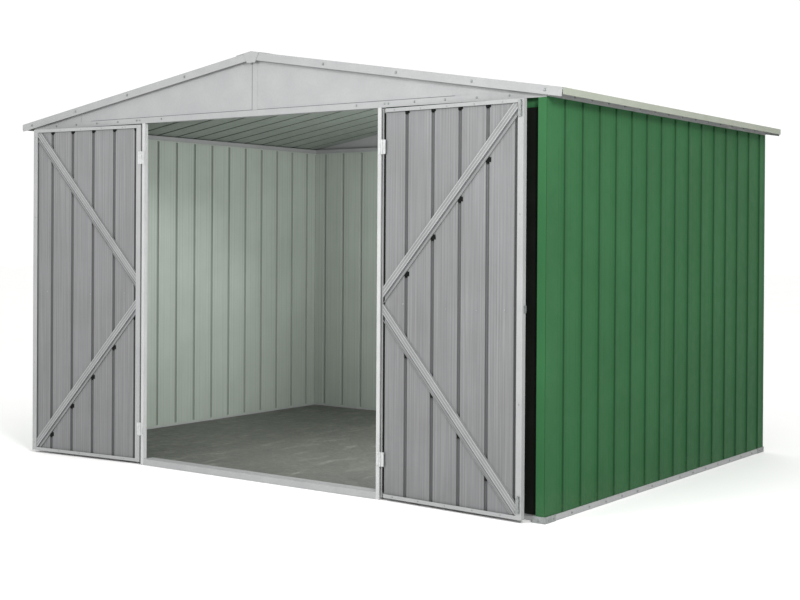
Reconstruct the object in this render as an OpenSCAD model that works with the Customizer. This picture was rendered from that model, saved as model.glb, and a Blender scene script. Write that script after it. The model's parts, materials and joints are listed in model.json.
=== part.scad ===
// Gable-ended sheet-metal storage shed with two hinged doors, drawn with both doors folded back.
// Origin: on the ground, at the centre of the wall footprint. The front faces -Y and +Z is up.

/* [Overall] */
// Width over the wall sheets
shed_w = 3120; // [2700:10:4000]
// Depth over the wall sheets
shed_d = 2360; // [1500:10:3600]
// Height of the walls, from the ground to the top of the top rails
wall_h = 1727; // [1400:1:2200]

/* [Ribbed sheets] */
// Thickness of the sheet metal as modelled
sheet_t = 2; // [1.5:0.1:2.5]
// Distance from one rib to the next
rib_pitch = 152; // [120:1:190]
// Width of a rib where it leaves the pan
rib_w = 20; // [16:1:26]
// Width of a rib at its crest
rib_crest_w = 9; // [7:1:12]
// Height of a wall or door rib
rib_h = 8; // [5:0.5:8.5]
// Distance from the end of a wall to its first rib
first_rib = 145; // [120:1:170]

/* [Rails and corners] */
// Thickness of the folded rails, jambs and trims
rail_t = 2; // [1.5:0.1:2.5]
// Width of the rails under and over the walls
rail_w = 30; // [20:1:40]
// Height of the legs of those rails
rail_h = 25; // [15:1:35]
// Height of the front face of the header rail
header_h = 28; // [20:1:40]
// Height of the door sill
sill_h = 30; // [20:1:40]
// Width of the front face of a corner post
post_w = 41; // [30:1:60]
// Length of the front leg of a corner bracket
bracket_front = 55; // [45:1:90]
// Length of the side leg of a corner bracket
bracket_side = 88; // [60:1:120]
// Height of a corner bracket
bracket_h = 27; // [20:1:40]

/* [Doorway] */
// Clear width between the jambs
doorway_w = 1444; // [1000:2:1800]
// Width of the front face of a jamb
jamb_w = 18; // [16:1:30]
// Depth of a jamb's return into the doorway
jamb_return = 20; // [12:1:30]
// How far the panels beside the doorway are set back behind the jambs
recess = 36; // [35:1:50]
// Width of the black buffer strip beside each front corner
buffer_w = 73; // [40:1:75]
// Thickness of that strip
buffer_t = 12; // [4:1:14]
// Distance from the header down to the top of that strip
buffer_drop = 36; // [10:1:60]

/* [Doors] */
// Thickness of a door
door_t = 22; // [20:1:24]
// Gap between the two closed doors
meeting_gap = 12; // [8:1:20]
// Gap between a closed door's inner face and the jamb
door_gap = 5; // [5:0.5:7]
// Gap between the top of a door and the header
head_gap = 5; // [5:0.5:12]
// Height of the bottom of the doors above the ground
door_foot = 12; // [8:1:25]
// Angle to which the left door stands open
left_open = 174.5; // [120:0.5:176]
// Angle to which the right door stands open
right_open = 176; // [120:0.5:176]
// Distance from rib to rib on a door
door_rib_pitch = 142; // [120:1:170]
// Distance from the left edge of a door to its first rib
door_first_rib = 40; // [40:1:60]
// Visible width of the door stiles
stile_w = 28; // [20:1:29]
// Visible height of the top and bottom channels of a door
door_rail_h = 16; // [10:1:25]
// Width of a diagonal brace over its flanges
brace_w = 52; // [40:1:70]
// Width of the raised middle of a brace
brace_hat_w = 31; // [20:1:36]

/* [Hinges and bolts] */
// Height of a hinge
hinge_h = 62; // [45:1:80]
// Radius of a hinge knuckle
knuckle_r = 4; // [3.5:0.25:4.5]
// Radius of a hinge pin
hinge_pin_r = 2; // [1.5:0.25:2.25]
// Height of the hinge centres above and below the ends of a door
hinge_inset = 165; // [100:5:300]
// Length of a tower bolt
bolt_l = 70; // [50:1:140]
// Radius of a tower bolt's rod
bolt_r = 4; // [3:0.5:5]

/* [Roof] */
// Slope of the roof in degrees
roof_pitch = 9.2; // [6:0.1:15]
// Overhang of the roof past the side walls
eave_out = 76; // [40:1:150]
// Overhang of the roof past the front wall
verge_front = 18; // [12:1:60]
// Overhang of the roof past the rear wall
verge_rear = 15; // [12:1:60]
// Height of a roof rib
roof_rib_h = 12; // [6:0.5:14]
// Depth of the barge trims
barge_h = 37; // [32:1:80]
// Width of the top leg of the barge trims
barge_top = 38; // [25:1:60]
// Depth of the eave trims
eave_h = 28; // [22:1:60]
// Width of each leg of the ridge cap
ridge_w = 92; // [60:1:140]
// Depth of the tabs that close the ridge cap's ends
ridge_tab_h = 54; // [40:1:70]
// Length of the small end pieces of the front gable infill
gable_end_l = 346; // [250:1:450]

/* [Floor] */
// Thickness of the floor board
floor_t = 18; // [12:1:22]

/* [Hidden] */

$fn = 48;

zinc = [0.76, 0.77, 0.76];
green = [0.25, 0.42, 0.28];
dull_zinc = [0.63, 0.64, 0.64];
black = [0.08, 0.09, 0.08];
floor_grey = [0.33, 0.34, 0.32];

// Clearance between two pieces that seat on each other without touching
seat = 0.3;

half_w = shed_w / 2;
half_d = shed_d / 2;
front_y = -half_d;

// The jambs, header and corner posts stand on the front plane; everything behind is this deep
front_depth = recess + rail_w - seat - rail_t;
jamb_depth = recess + sheet_t;
doorway_half = doorway_w / 2;
jamb_out = doorway_half + jamb_w;
header_z = wall_h - header_h;
post_in = half_w - post_w;
panel_y = front_y + recess;

// Doors and hinges
pin_gap = 5;
pin_x = jamb_out + pin_gap;
pin_y = front_y - door_gap / 2;
door_w = jamb_out - meeting_gap / 2;
door_z = door_foot;
door_h = header_z - head_gap - door_foot;
door_pan = 11;
leaf_t = 2;
leaf_w = 15;
bore_gap = 0.08;
knuckle_gap = 0.6;
hinge_z = [door_z + hinge_inset, door_z + door_h - hinge_inset];

// Roof, measured along the slope from the ridge (s) and at right angles to it (n)
roof_x = half_w + eave_out;
tan_p = tan(roof_pitch);
cos_p = cos(roof_pitch);
sin_p = sin(roof_pitch);
plate_out = half_w + seat + rail_t;
ridge_z = wall_h + seat + plate_out * tan_p;
slope_l = roof_x / cos_p;
roof_top = sheet_t + roof_rib_h;
trim_n = roof_top + seat;
cap_n = trim_n + rail_t + seat;
roof_y0 = front_y - verge_front + rail_t + seat;
roof_y1 = half_d + verge_rear - rail_t - seat;

// --- places ------------------------------------------------------------------------------

// Puts a wall drawn along X, facing -Y, on the right side of the shed
module on_right() {
    translate([half_w, 0, 0]) rotate([0, 0, 90]) children();
}

module on_left() {
    mirror([1, 0, 0]) on_right() children();
}

module on_rear() {
    translate([0, half_d, 0]) rotate([0, 0, 180]) children();
}

module on_both_sides() {
    children();
    mirror([1, 0, 0]) children();
}

// --- ribbed sheets -----------------------------------------------------------------------

// Rib centres from a to b at the pitch, clear of the end b
function rib_places(a, b, pitch) = [for (x = [a : pitch : b - rib_w]) x];

// Half the width that the inside of a rib loses to the sheet's thickness
function fold_loss(h, t) =
    let (a = atan2((rib_w - rib_crest_w) / 2, h)) t * (1 - sin(a)) / cos(a);

function rib_outside(c, h) = [
    [c - rib_w / 2, 0],
    [c - rib_crest_w / 2, -h],
    [c + rib_crest_w / 2, -h],
    [c + rib_w / 2, 0]
];

function rib_inside(c, h, t) = let (k = fold_loss(h, t)) [
    [c + rib_w / 2 - k, t],
    [c + rib_crest_w / 2 - k, -h + t],
    [c - rib_crest_w / 2 + k, -h + t],
    [c - rib_w / 2 + k, t]
];

// Section of a ribbed sheet from x0 to x1, with its ribs standing out towards -Y
function sheet_section(x0, x1, ribs, h, t) = concat(
    [[x0, 0]],
    [for (c = ribs) each rib_outside(c, h)],
    [[x1, 0], [x1, t]],
    [for (i = [len(ribs) - 1 : -1 : 0]) each rib_inside(ribs[i], h, t)],
    [[x0, t]]
);

// Standing sheet: flat where the rails hold it, ribbed between
module standing_sheet(x0, x1, ribs, z0, z1, flat_low, flat_high) {
    translate([x0, 0, z0]) cube([x1 - x0, sheet_t, flat_low]);
    translate([0, 0, z0 + flat_low])
        linear_extrude(z1 - z0 - flat_low - flat_high)
            polygon(sheet_section(x0, x1, ribs, rib_h, sheet_t));
    translate([x0, 0, z1 - flat_high]) cube([x1 - x0, sheet_t, flat_high]);
}

// --- rails -------------------------------------------------------------------------------

// Rail round the bottom edge of a wall: its outer leg runs from a0 to a1, the rest from b0 to b1
module wall_rail(a0, a1, b0, b1) {
    leg_y = -seat - rail_t;
    translate([a0, leg_y, 0]) cube([a1 - a0, rail_t, rail_h]);
    translate([b0, leg_y, 0]) cube([b1 - b0, rail_w, rail_t]);
    translate([b0, leg_y + rail_w - rail_t, 0]) cube([b1 - b0, rail_t, rail_h]);
}

module top_rail(a0, a1, b0, b1) {
    translate([0, 0, wall_h]) mirror([0, 0, 1]) wall_rail(a0, a1, b0, b1);
}

rail_in = rail_w - seat - rail_t;
side_b0 = front_y + front_depth + seat;
side_b1 = half_d - sheet_t - seat;
side_end = half_d + seat + rail_t;
rear_b = half_w - rail_in - seat;

module side_base_rail() {
    on_right() wall_rail(front_y, side_end, side_b0, side_b1);
}

module side_top_rail() {
    on_right() top_rail(front_y, side_end, side_b0, side_b1);
}

module base_rail_right() {
    color(zinc) side_base_rail();
}

module base_rail_left() {
    color(zinc) mirror([1, 0, 0]) side_base_rail();
}

module base_rail_rear() {
    color(zinc) on_rear() wall_rail(-half_w, half_w, -rear_b, rear_b);
}

module base_rails_front() {
    color(zinc) on_both_sides()
        translate([0, panel_y, 0])
            wall_rail(jamb_out + seat, post_in - seat, jamb_out + seat, post_in - seat);
}

module top_rail_right() {
    color(zinc) side_top_rail();
}

module top_rail_left() {
    color(zinc) mirror([1, 0, 0]) side_top_rail();
}

module top_rail_rear() {
    color(zinc) on_rear() top_rail(-half_w, half_w, -rear_b, rear_b);
}

// Header over the whole front: front face, top web and rear leg
module header_rail() {
    l = half_w - sheet_t - seat;
    color(zinc) {
        translate([-l, front_y, header_z]) cube([2 * l, rail_t, header_h]);
        translate([-l, front_y, wall_h - rail_t]) cube([2 * l, front_depth, rail_t]);
        translate([-l, front_y + front_depth - rail_t, wall_h - rail_h])
            cube([2 * l, rail_t, rail_h]);
    }
}

module door_sill() {
    l = doorway_half - seat;
    color(zinc) {
        translate([-l, front_y, 0]) cube([2 * l, rail_t, sill_h]);
        translate([-l, front_y, sill_h - rail_t]) cube([2 * l, front_depth, rail_t]);
        translate([-l, front_y + front_depth - rail_t, 0]) cube([2 * l, rail_t, sill_h]);
    }
}

// Brackets that wrap the four bottom corners outside the rails
module corner_bracket(y, front_leg, dir) {
    out = half_w + 2 * seat + 2 * rail_t;
    y_out = y - dir * (seat + rail_t);
    side_y = min(y_out, y_out + dir * bracket_side);
    leg_y = min(y_out, y_out + dir * rail_t);
    translate([out - rail_t, side_y, 0]) cube([rail_t, bracket_side, bracket_h]);
    translate([out - front_leg, leg_y, 0]) cube([front_leg, rail_t, bracket_h]);
}

module corner_brackets() {
    color(dull_zinc) on_both_sides() {
        corner_bracket(front_y, bracket_front + 2 * (seat + rail_t), 1);
        corner_bracket(half_d + seat + rail_t, bracket_side, -1);
    }
}

// --- floor -------------------------------------------------------------------------------

module floor_board() {
    x = half_w - rail_in - seat;
    y0 = front_y + front_depth + seat;
    y1 = half_d - rail_in - seat;
    color(floor_grey) translate([-x, y0, 0]) cube([2 * x, y1 - y0, floor_t]);
}

// --- walls -------------------------------------------------------------------------------

module side_wall() {
    ribs = rib_places(front_y + first_rib, half_d - rib_w, rib_pitch);
    on_right()
        standing_sheet(front_y, half_d, ribs, rail_t, wall_h - rail_t, rail_h, rail_h);
}

module right_wall() {
    color(green) side_wall();
}

module left_wall() {
    color(green) mirror([1, 0, 0]) side_wall();
}

module rear_wall() {
    x = half_w - sheet_t - seat;
    ribs = rib_places(-half_w + first_rib, x - rib_w, rib_pitch);
    color(green) on_rear()
        standing_sheet(-x, x, ribs, rail_t, wall_h - rail_t, rail_h, rail_h);
}

// Panel beside the doorway, with its ribs counted from the corner
module front_panel() {
    x0 = jamb_out + seat;
    x1 = post_in - seat;
    n = floor((half_w - first_rib - x0 - rib_w) / rib_pitch);
    ribs = [for (i = [n : -1 : 0]) half_w - first_rib - i * rib_pitch];
    translate([0, panel_y, 0])
        standing_sheet(x0, x1, ribs, rail_t, wall_h - rail_t, rail_h, header_h + head_gap);
}

module front_right_panel() {
    color(green) front_panel();
}

module front_left_panel() {
    color(green) mirror([1, 0, 0]) front_panel();
}

module door_buffers() {
    z0 = rail_h + 1;
    x1 = post_in - seat;
    color(black) on_both_sides()
        translate([x1 - buffer_w, panel_y - buffer_t, z0])
            cube([buffer_w, buffer_t, header_z - buffer_drop - z0]);
}

// Folded post at a front corner: front face, return behind the panel, and a leg by the side wall
module corner_post() {
    x1 = half_w - sheet_t - seat;
    translate([post_in, front_y, 0]) cube([x1 - post_in, rail_t, header_z]);
    translate([post_in, front_y, 0]) cube([rail_t, front_depth, header_z]);
    translate([x1 - rail_t, front_y, 0]) cube([rail_t, front_depth, header_z]);
}

module corner_post_right() {
    color(green) corner_post();
}

module corner_post_left() {
    color(green) mirror([1, 0, 0]) corner_post();
}

// Jamb: front face, short return into the doorway, long return to the panel behind
module jamb() {
    translate([doorway_half, front_y, 0]) cube([jamb_w, rail_t, header_z]);
    translate([doorway_half, front_y, 0]) cube([rail_t, jamb_return, header_z]);
    translate([jamb_out - rail_t, front_y, 0]) cube([rail_t, jamb_depth, header_z]);
}

module right_jamb() {
    color(zinc) jamb();
}

module left_jamb() {
    color(zinc) mirror([1, 0, 0]) jamb();
}

// --- gables ------------------------------------------------------------------------------

// Height of the underside of the roof at a distance x from the centre
function roof_under(x) = ridge_z - x * tan_p;

// Upright gable sheet between x0 and x1, under the right-hand slope
module gable_sheet(x0, x1, y) {
    pts = [
        [x0, wall_h],
        [x1, wall_h],
        [x1, roof_under(x1) - seat],
        [x0, roof_under(x0) - seat]
    ];
    translate([0, y + sheet_t, 0]) rotate([90, 0, 0]) linear_extrude(sheet_t) polygon(pts);
}

gable_in = rail_t + 2;
gable_end_x = half_w - gable_end_l;

module front_gable_right() {
    color(zinc) gable_sheet(0, gable_end_x, front_y + gable_in);
}

module front_gable_left() {
    color(zinc) mirror([1, 0, 0]) gable_sheet(0, gable_end_x, front_y + gable_in);
}

// The end pieces lap in front of the main infill by one sheet thickness
module front_gable_ends() {
    lap = 20;
    color(zinc) on_both_sides()
        gable_sheet(gable_end_x - lap, half_w, front_y + gable_in - sheet_t);
}

module rear_gable() {
    color(zinc) {
        gable_sheet(0.2, half_w, half_d - gable_in - sheet_t);
        mirror([1, 0, 0]) gable_sheet(0.2, half_w, half_d - gable_in - sheet_t);
    }
}

// --- roof --------------------------------------------------------------------------------

// Distance along the slope to a given distance x from the centre, at height n over the slope
function slope_s(x, n) = (x - n * sin_p) / cos_p;

function slope_point(s, n) = [s * cos_p + n * sin_p, ridge_z - s * sin_p + n * cos_p];

// Plate on the right-hand slope from x0 (cut upright) to s1 (cut square), between n0 and n1
module slope_plate(x0, s1, n0, n1, y0, y1) {
    pts = [
        slope_point(slope_s(x0, n0), n0),
        slope_point(s1, n0),
        slope_point(s1, n1),
        slope_point(slope_s(x0, n1), n1)
    ];
    translate([0, y1, 0]) rotate([90, 0, 0]) linear_extrude(y1 - y0) polygon(pts);
}

// Ribbed sheet of one slope, drawn flat along X and then laid on the slope
module roof_slope() {
    ridge_gap = 4;
    ribs = rib_places(roof_y0 + first_rib, roof_y1 - rib_w, rib_pitch);
    section = [
        for (p = sheet_section(roof_y0, roof_y1, ribs, roof_rib_h, sheet_t)) [p[0], sheet_t - p[1]]
    ];
    translate([0, 0, ridge_z])
        rotate([0, roof_pitch, 0])
            translate([ridge_gap, 0, 0])
                rotate([90, 0, 90])
                    linear_extrude(slope_l - ridge_gap)
                        polygon(section);
}

module roof_right() {
    color(zinc) roof_slope();
}

module roof_left() {
    color(zinc) mirror([1, 0, 0]) roof_slope();
}

// Barge trim at y, whose top leg lies over the roof towards dir
module barge(y, dir) {
    lap_y = min(y, y + dir * barge_top);
    face_y = min(y, y + dir * rail_t);
    top = trim_n + rail_t;
    slope_plate(seat, slope_l, trim_n, top, lap_y, lap_y + barge_top);
    slope_plate(seat, slope_l, top - barge_h, top, face_y, face_y + rail_t);
}

barge_front_y = front_y - verge_front;
barge_rear_y = half_d + verge_rear;

module barge_front_right() {
    color(zinc) barge(barge_front_y, 1);
}

module barge_front_left() {
    color(zinc) mirror([1, 0, 0]) barge(barge_front_y, 1);
}

module barges_rear() {
    color(zinc) on_both_sides() barge(barge_rear_y, -1);
}

// Eave trim: a leg over the ribs between the barges, and an upright face in front of the sheet's edge
module eave_trim() {
    lap_s = slope_l - 60;
    top = trim_n + rail_t;
    x_in = slope_point(slope_l, top)[0] + seat;
    x_out = x_in + rail_t;
    z_top = slope_point(slope_s(x_out, top), top)[1];
    y0 = barge_front_y + barge_top + seat;
    y1 = barge_rear_y - barge_top - seat;
    face_y0 = barge_front_y + rail_t + seat;
    face_y1 = barge_rear_y - rail_t - seat;
    leg = [
        slope_point(lap_s, trim_n),
        slope_point(slope_s(x_out, trim_n), trim_n),
        slope_point(slope_s(x_out, top), top),
        slope_point(lap_s, top)
    ];
    translate([0, y1, 0]) rotate([90, 0, 0]) linear_extrude(y1 - y0) polygon(leg);
    translate([x_in, face_y0, z_top - eave_h]) cube([rail_t, face_y1 - face_y0, eave_h]);
}

module eave_trim_right() {
    color(zinc) eave_trim();
}

module eave_trim_left() {
    color(zinc) mirror([1, 0, 0]) eave_trim();
}

// Folded cap over the ridge, closed at both ends by a tab that hangs over the barges
module ridge_cap() {
    top = cap_n + rail_t;
    leg_s = ridge_w;
    y0 = barge_front_y - seat - rail_t;
    y1 = barge_rear_y + seat + rail_t;
    right = [slope_point(leg_s, top), slope_point(leg_s, cap_n)];
    section = [
        slope_point(slope_s(0, top), top),
        right[0],
        right[1],
        slope_point(slope_s(0, cap_n), cap_n),
        [-right[1][0], right[1][1]],
        [-right[0][0], right[0][1]]
    ];
    peak = slope_point(slope_s(0, top), top)[1];
    tab_top = ridge_w * 0.52;
    tab_low = ridge_w * 0.27;
    tab = [
        [0, peak - 0.5],
        [tab_top, peak - 0.5 - tab_top * tan_p],
        [tab_low, peak - ridge_tab_h],
        [-tab_low, peak - ridge_tab_h],
        [-tab_top, peak - 0.5 - tab_top * tan_p]
    ];
    color(zinc) {
        translate([0, y1, 0]) rotate([90, 0, 0]) linear_extrude(y1 - y0) polygon(section);
        for (y = [y0 + rail_t, y1])
            translate([0, y, 0]) rotate([90, 0, 0]) linear_extrude(rail_t) polygon(tab);
    }
}

// --- hinges ------------------------------------------------------------------------------

// One leaf of a hinge with its knuckles, the pin on the Z axis and the leaf towards -X.
// The leaf's face is at y0, and parts lists the [low, high] of its knuckles.
module hinge_leaf(y0, parts) {
    difference() {
        union() {
            translate([-pin_gap - leaf_w, y0, 0]) cube([leaf_w, leaf_t, hinge_h]);
            for (p = parts) {
                translate([-pin_gap - 1, y0, p[0]]) cube([pin_gap + 1, leaf_t, p[1] - p[0]]);
                translate([0, 0, p[0]]) cylinder(h = p[1] - p[0], r = knuckle_r);
            }
        }
        translate([0, 0, -1]) cylinder(h = hinge_h + 2, r = hinge_pin_r + bore_gap);
    }
}

third = hinge_h / 3;
fixed_parts = [[0, third - knuckle_gap / 2], [2 * third + knuckle_gap / 2, hinge_h]];
moving_parts = [[third + knuckle_gap / 2, 2 * third - knuckle_gap / 2]];

// Leaf fixed to the jamb, with the pin pressed in its knuckles
module fixed_hinge() {
    head = 1.5;
    hinge_leaf(door_gap / 2 - leaf_t, fixed_parts);
    translate([0, 0, -head]) cylinder(h = hinge_h + 2 * head, r = hinge_pin_r);
    for (p = fixed_parts)
        translate([0, 0, p[0]]) cylinder(h = p[1] - p[0], r = hinge_pin_r + bore_gap);
    translate([0, 0, -head]) cylinder(h = head, r = knuckle_r);
    translate([0, 0, hinge_h]) cylinder(h = head, r = knuckle_r);
}

module moving_hinge() {
    hinge_leaf(-door_gap / 2, moving_parts);
}

module jamb_hinge_leaves() {
    color(zinc) on_both_sides()
        for (z = hinge_z)
            translate([pin_x, pin_y, z - hinge_h / 2]) fixed_hinge();
}

// --- doors -------------------------------------------------------------------------------

// Hangs a right-hand door piece, given shut, on its pin and opens it
module hung(angle) {
    translate([pin_x, pin_y, 0]) rotate([0, 0, angle]) children();
}

module right_hung() {
    hung(right_open) children();
}

module left_hung() {
    mirror([1, 0, 0]) hung(left_open) children();
}

// Inside a door, X runs from -pin_gap at the hinge edge to the free edge at -door_edge,
// and Y from the inner face at -door_gap / 2 outwards to the outer face
door_edge = pin_gap + door_w;
inner_y = -door_gap / 2;
outer_y = inner_y - door_t;
pan_y = inner_y - door_pan;
door_spans = floor((door_w - door_first_rib - 1.5 * rib_w) / door_rib_pitch);

// Sheet of a door; rib_from is the distance of the first rib from the hinge edge
module door_sheet(rib_from) {
    x0 = -door_edge + rail_t + seat;
    x1 = -pin_gap - rail_t - seat;
    ribs = [for (i = [door_spans : -1 : 0]) -pin_gap - rib_from - i * door_rib_pitch];
    z0 = door_z + rail_t + seat;
    z1 = door_z + door_h - rail_t - seat;
    flat = door_rail_h + 4;
    translate([0, pan_y, 0]) standing_sheet(x0, x1, ribs, z0, z1, flat, flat);
}

// Upright edge channel at x, opening towards dir, with its inner lip lip_w wide
module door_stile(x, dir, lip_w) {
    outer_lip = 12;
    x_web = min(x, x + dir * rail_t);
    translate([x_web, outer_y, door_z]) cube([rail_t, door_t, door_h]);
    translate([min(x, x + dir * lip_w), inner_y - rail_t, door_z]) cube([lip_w, rail_t, door_h]);
    translate([min(x, x + dir * outer_lip), outer_y, door_z]) cube([outer_lip, rail_t, door_h]);
}

// Cross channel at z, opening upwards or downwards, from x0 to x1
module door_cross(x0, x1, z, dir) {
    z_web = min(z, z + dir * rail_t);
    z_lip = min(z, z + dir * door_rail_h);
    translate([x0, outer_y, z_web]) cube([x1 - x0, door_t, rail_t]);
    for (y = [outer_y, inner_y - rail_t])
        translate([x0, y, z_lip]) cube([x1 - x0, rail_t, door_rail_h]);
}

module door_frame(hinge_lip) {
    x_free = -door_edge + stile_w + seat;
    x_hinge = -pin_gap - max(hinge_lip, 12) - seat;
    door_stile(-pin_gap, -1, hinge_lip);
    door_stile(-door_edge, 1, stile_w);
    door_cross(x_free, x_hinge, door_z, 1);
    door_cross(x_free, x_hinge, door_z + door_h, -1);
}

brace_up = door_pan - rail_t - sheet_t - 2 * seat;

// Hat-section brace from the hinge edge at mid height to a free corner; up is 1 or -1
module door_brace(up) {
    mid_z = door_z + door_h / 2;
    run = door_w;
    rise = door_h / 2 - brace_w / 2;
    angle = atan2(up * rise, -run);
    long = sqrt(run * run + rise * rise) + 2 * brace_w;
    x0 = -door_edge + stile_w + seat;
    x1 = -pin_gap - rail_t - 2 * seat;
    z_in = door_rail_h + rail_t;
    base_y = pan_y + sheet_t + seat;
    z_near = mid_z + (up > 0 ? 2 : -door_h / 2 + z_in);
    intersection() {
        translate([-pin_gap, base_y, mid_z + up * brace_w * 0.62])
            rotate([0, -angle, 0])
                translate([-brace_w, 0, 0]) {
                    translate([0, 0, -brace_w / 2]) cube([long, rail_t, brace_w]);
                    translate([0, 0, -brace_w / 2 + 3]) cube([long, brace_up, brace_hat_w]);
                    translate([0, 0, brace_w / 2 - rail_t]) cube([long, brace_up, rail_t]);
                }
        translate([x0, base_y, z_near]) cube([x1 - x0, brace_up, door_h / 2 - z_in - 2]);
    }
}

module door_braces() {
    door_brace(1);
    door_brace(-1);
}

module door_hinges() {
    for (z = hinge_z)
        translate([0, 0, z - hinge_h / 2]) moving_hinge();
}

module right_door_sheet() {
    rib_from = door_w - door_first_rib - door_spans * door_rib_pitch;
    color(green) right_hung() door_sheet(rib_from);
}

module right_door_frame() {
    color(zinc) right_hung() door_frame(rail_t);
}

module right_door_braces() {
    color(zinc) right_hung() door_braces();
}

module right_door_hinges() {
    color(zinc) right_hung() door_hinges();
}

module left_door_sheet() {
    color(green) left_hung() door_sheet(door_first_rib);
}

module left_door_frame() {
    color(zinc) left_hung() door_frame(stile_w);
}

module left_door_braces() {
    color(zinc) left_hung() door_braces();
}

module left_door_hinges() {
    color(zinc) left_hung() door_hinges();
}

// Tower bolt on the inner face: back plate, two guides and the rod
module tower_bolt() {
    plate_w = 14;
    plate_t = 1.5;
    guide_h = 16;
    rod_y = plate_t + bolt_r + 0.5;
    translate([-plate_w / 2, 0, 0]) cube([plate_w, plate_t, bolt_l]);
    for (z = [8, bolt_l - 8 - guide_h])
        translate([-bolt_r - 2, 0, z]) cube([2 * bolt_r + 4, 2 * bolt_r + plate_t + 1, guide_h]);
    translate([0, rod_y, 2]) cylinder(h = bolt_l - 4, r = bolt_r);
}

module right_door_bolts() {
    x = -door_edge + stile_w / 2;
    low = sill_h + 8;
    high = door_z + door_h - bolt_l - 4;
    color(dull_zinc) right_hung()
        for (z = [low, high])
            translate([x, inner_y, z]) tower_bolt();
}

latch_z = door_z + door_h / 2;
latch_w = 46;
latch_h = 60;
latch_t = 3;

// Pad bolt on the outer face of the left door
module left_door_latch() {
    edge = 6;
    color(dull_zinc) left_hung()
        translate([-door_edge + edge, outer_y - latch_t, latch_z - latch_h / 2]) {
            cube([latch_w, latch_t, latch_h]);
            translate([4, -5, latch_h / 2]) rotate([0, 90, 0]) cylinder(h = latch_w - 8, r = 6);
        }
}

// Keeper on the outer face of the right door, turned round its free edge
module right_door_keeper() {
    wrap_t = 2;
    wrap = 14;
    color(dull_zinc) right_hung() {
        translate([-door_edge - wrap_t, outer_y - latch_t, latch_z - latch_h / 4])
            cube([wrap_t, wrap + latch_t, latch_h / 2]);
        translate([-door_edge - wrap_t, outer_y - latch_t, latch_z - latch_h / 4])
            cube([latch_w / 2, latch_t, latch_h / 2]);
    }
}

// --- drawing -----------------------------------------------------------------------------

floor_board();
base_rail_left();
base_rail_right();
base_rail_rear();
base_rails_front();
door_sill();
corner_brackets();
corner_post_left();
corner_post_right();
left_wall();
right_wall();
rear_wall();
front_left_panel();
front_right_panel();
door_buffers();
left_jamb();
right_jamb();
header_rail();
top_rail_left();
top_rail_right();
top_rail_rear();
front_gable_left();
front_gable_right();
front_gable_ends();
rear_gable();
roof_left();
roof_right();
ridge_cap();
barge_front_left();
barge_front_right();
barges_rear();
eave_trim_left();
eave_trim_right();
jamb_hinge_leaves();
left_door_sheet();
left_door_frame();
left_door_braces();
left_door_hinges();
left_door_latch();
right_door_sheet();
right_door_frame();
right_door_braces();
right_door_hinges();
right_door_bolts();
right_door_keeper();
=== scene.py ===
"""Looks of a gable-roofed storage shed in ribbed sheet steel, with its two doors folded back."""

import json
import logging
import math
from dataclasses import dataclass, field
from enum import Enum

import bmesh
import bpy
from mathutils import Matrix, Vector


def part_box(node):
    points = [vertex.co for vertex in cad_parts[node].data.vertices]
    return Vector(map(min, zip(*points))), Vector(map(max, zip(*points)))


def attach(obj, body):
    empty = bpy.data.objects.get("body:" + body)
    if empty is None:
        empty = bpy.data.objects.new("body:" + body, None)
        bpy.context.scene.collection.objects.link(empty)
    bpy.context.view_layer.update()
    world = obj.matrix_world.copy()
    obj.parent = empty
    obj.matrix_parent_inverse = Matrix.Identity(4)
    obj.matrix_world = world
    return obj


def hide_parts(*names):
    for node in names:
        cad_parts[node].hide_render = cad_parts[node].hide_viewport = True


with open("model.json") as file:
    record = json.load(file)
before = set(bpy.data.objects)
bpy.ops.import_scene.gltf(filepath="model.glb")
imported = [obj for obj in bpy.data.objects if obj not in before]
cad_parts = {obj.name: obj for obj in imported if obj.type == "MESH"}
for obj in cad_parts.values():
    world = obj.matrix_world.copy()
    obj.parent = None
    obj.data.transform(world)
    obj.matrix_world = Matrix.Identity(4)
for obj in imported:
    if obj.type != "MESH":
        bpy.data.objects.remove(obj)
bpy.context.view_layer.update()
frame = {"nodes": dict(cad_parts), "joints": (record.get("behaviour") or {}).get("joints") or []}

log = logging.getLogger("shed")

MM = 0.001
SHED = "shed_body"
LEFT_DOOR = "left_door"
RIGHT_DOOR = "right_door"
Point = tuple[float, float, float]

RIB_PITCH = 0.152  # distance from rib to rib on walls and roof
FIRST_RIB = 0.145  # distance of the first rib from the start of a run of sheets
PANS = 5  # pans to one sheet
SKIN = 0.8 * MM  # thickness of the drawn sheets
BITE = 0.2 * MM  # how far a strip sinks into the sheet that carries it


# --- small tools -------------------------------------------------------------------------


def linear(colour: str) -> tuple[float, float, float, float]:
    """Turns an sRGB hex colour to the linear values that the shaders take.

    Args:
        colour: six hex digits after a hash sign.

    Returns:
        Linear red, green, blue and an alpha of 1.
    """
    parts = [int(colour[i : i + 2], 16) / 255 for i in (1, 3, 5)]
    low = [c / 12.92 if c <= 0.04045 else ((c + 0.055) / 1.055) ** 2.4 for c in parts]
    return low[0], low[1], low[2], 1.0


def per_mm(size: float) -> float:
    """Gives the texture scale whose features are about this many millimetres across."""
    return 1.0 / (size * MM)


def node(
    tree: bpy.types.NodeTree, kind: str, inputs: dict | None = None, **settings: object
) -> bpy.types.Node:
    """Adds a node, sets its properties and feeds its inputs.

    Args:
        tree: the node tree to add to.
        kind: the node's type name.
        inputs: input names or numbers, each with a constant or with a socket to link from.
        settings: the node's own properties.

    Returns:
        The new node.
    """
    made = tree.nodes.new(kind)
    for name, value in settings.items():
        setattr(made, name, value)
    for key, value in (inputs or {}).items():
        if isinstance(value, bpy.types.NodeSocket):
            tree.links.new(value, made.inputs[key])
        else:
            made.inputs[key].default_value = value
    return made


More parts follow.
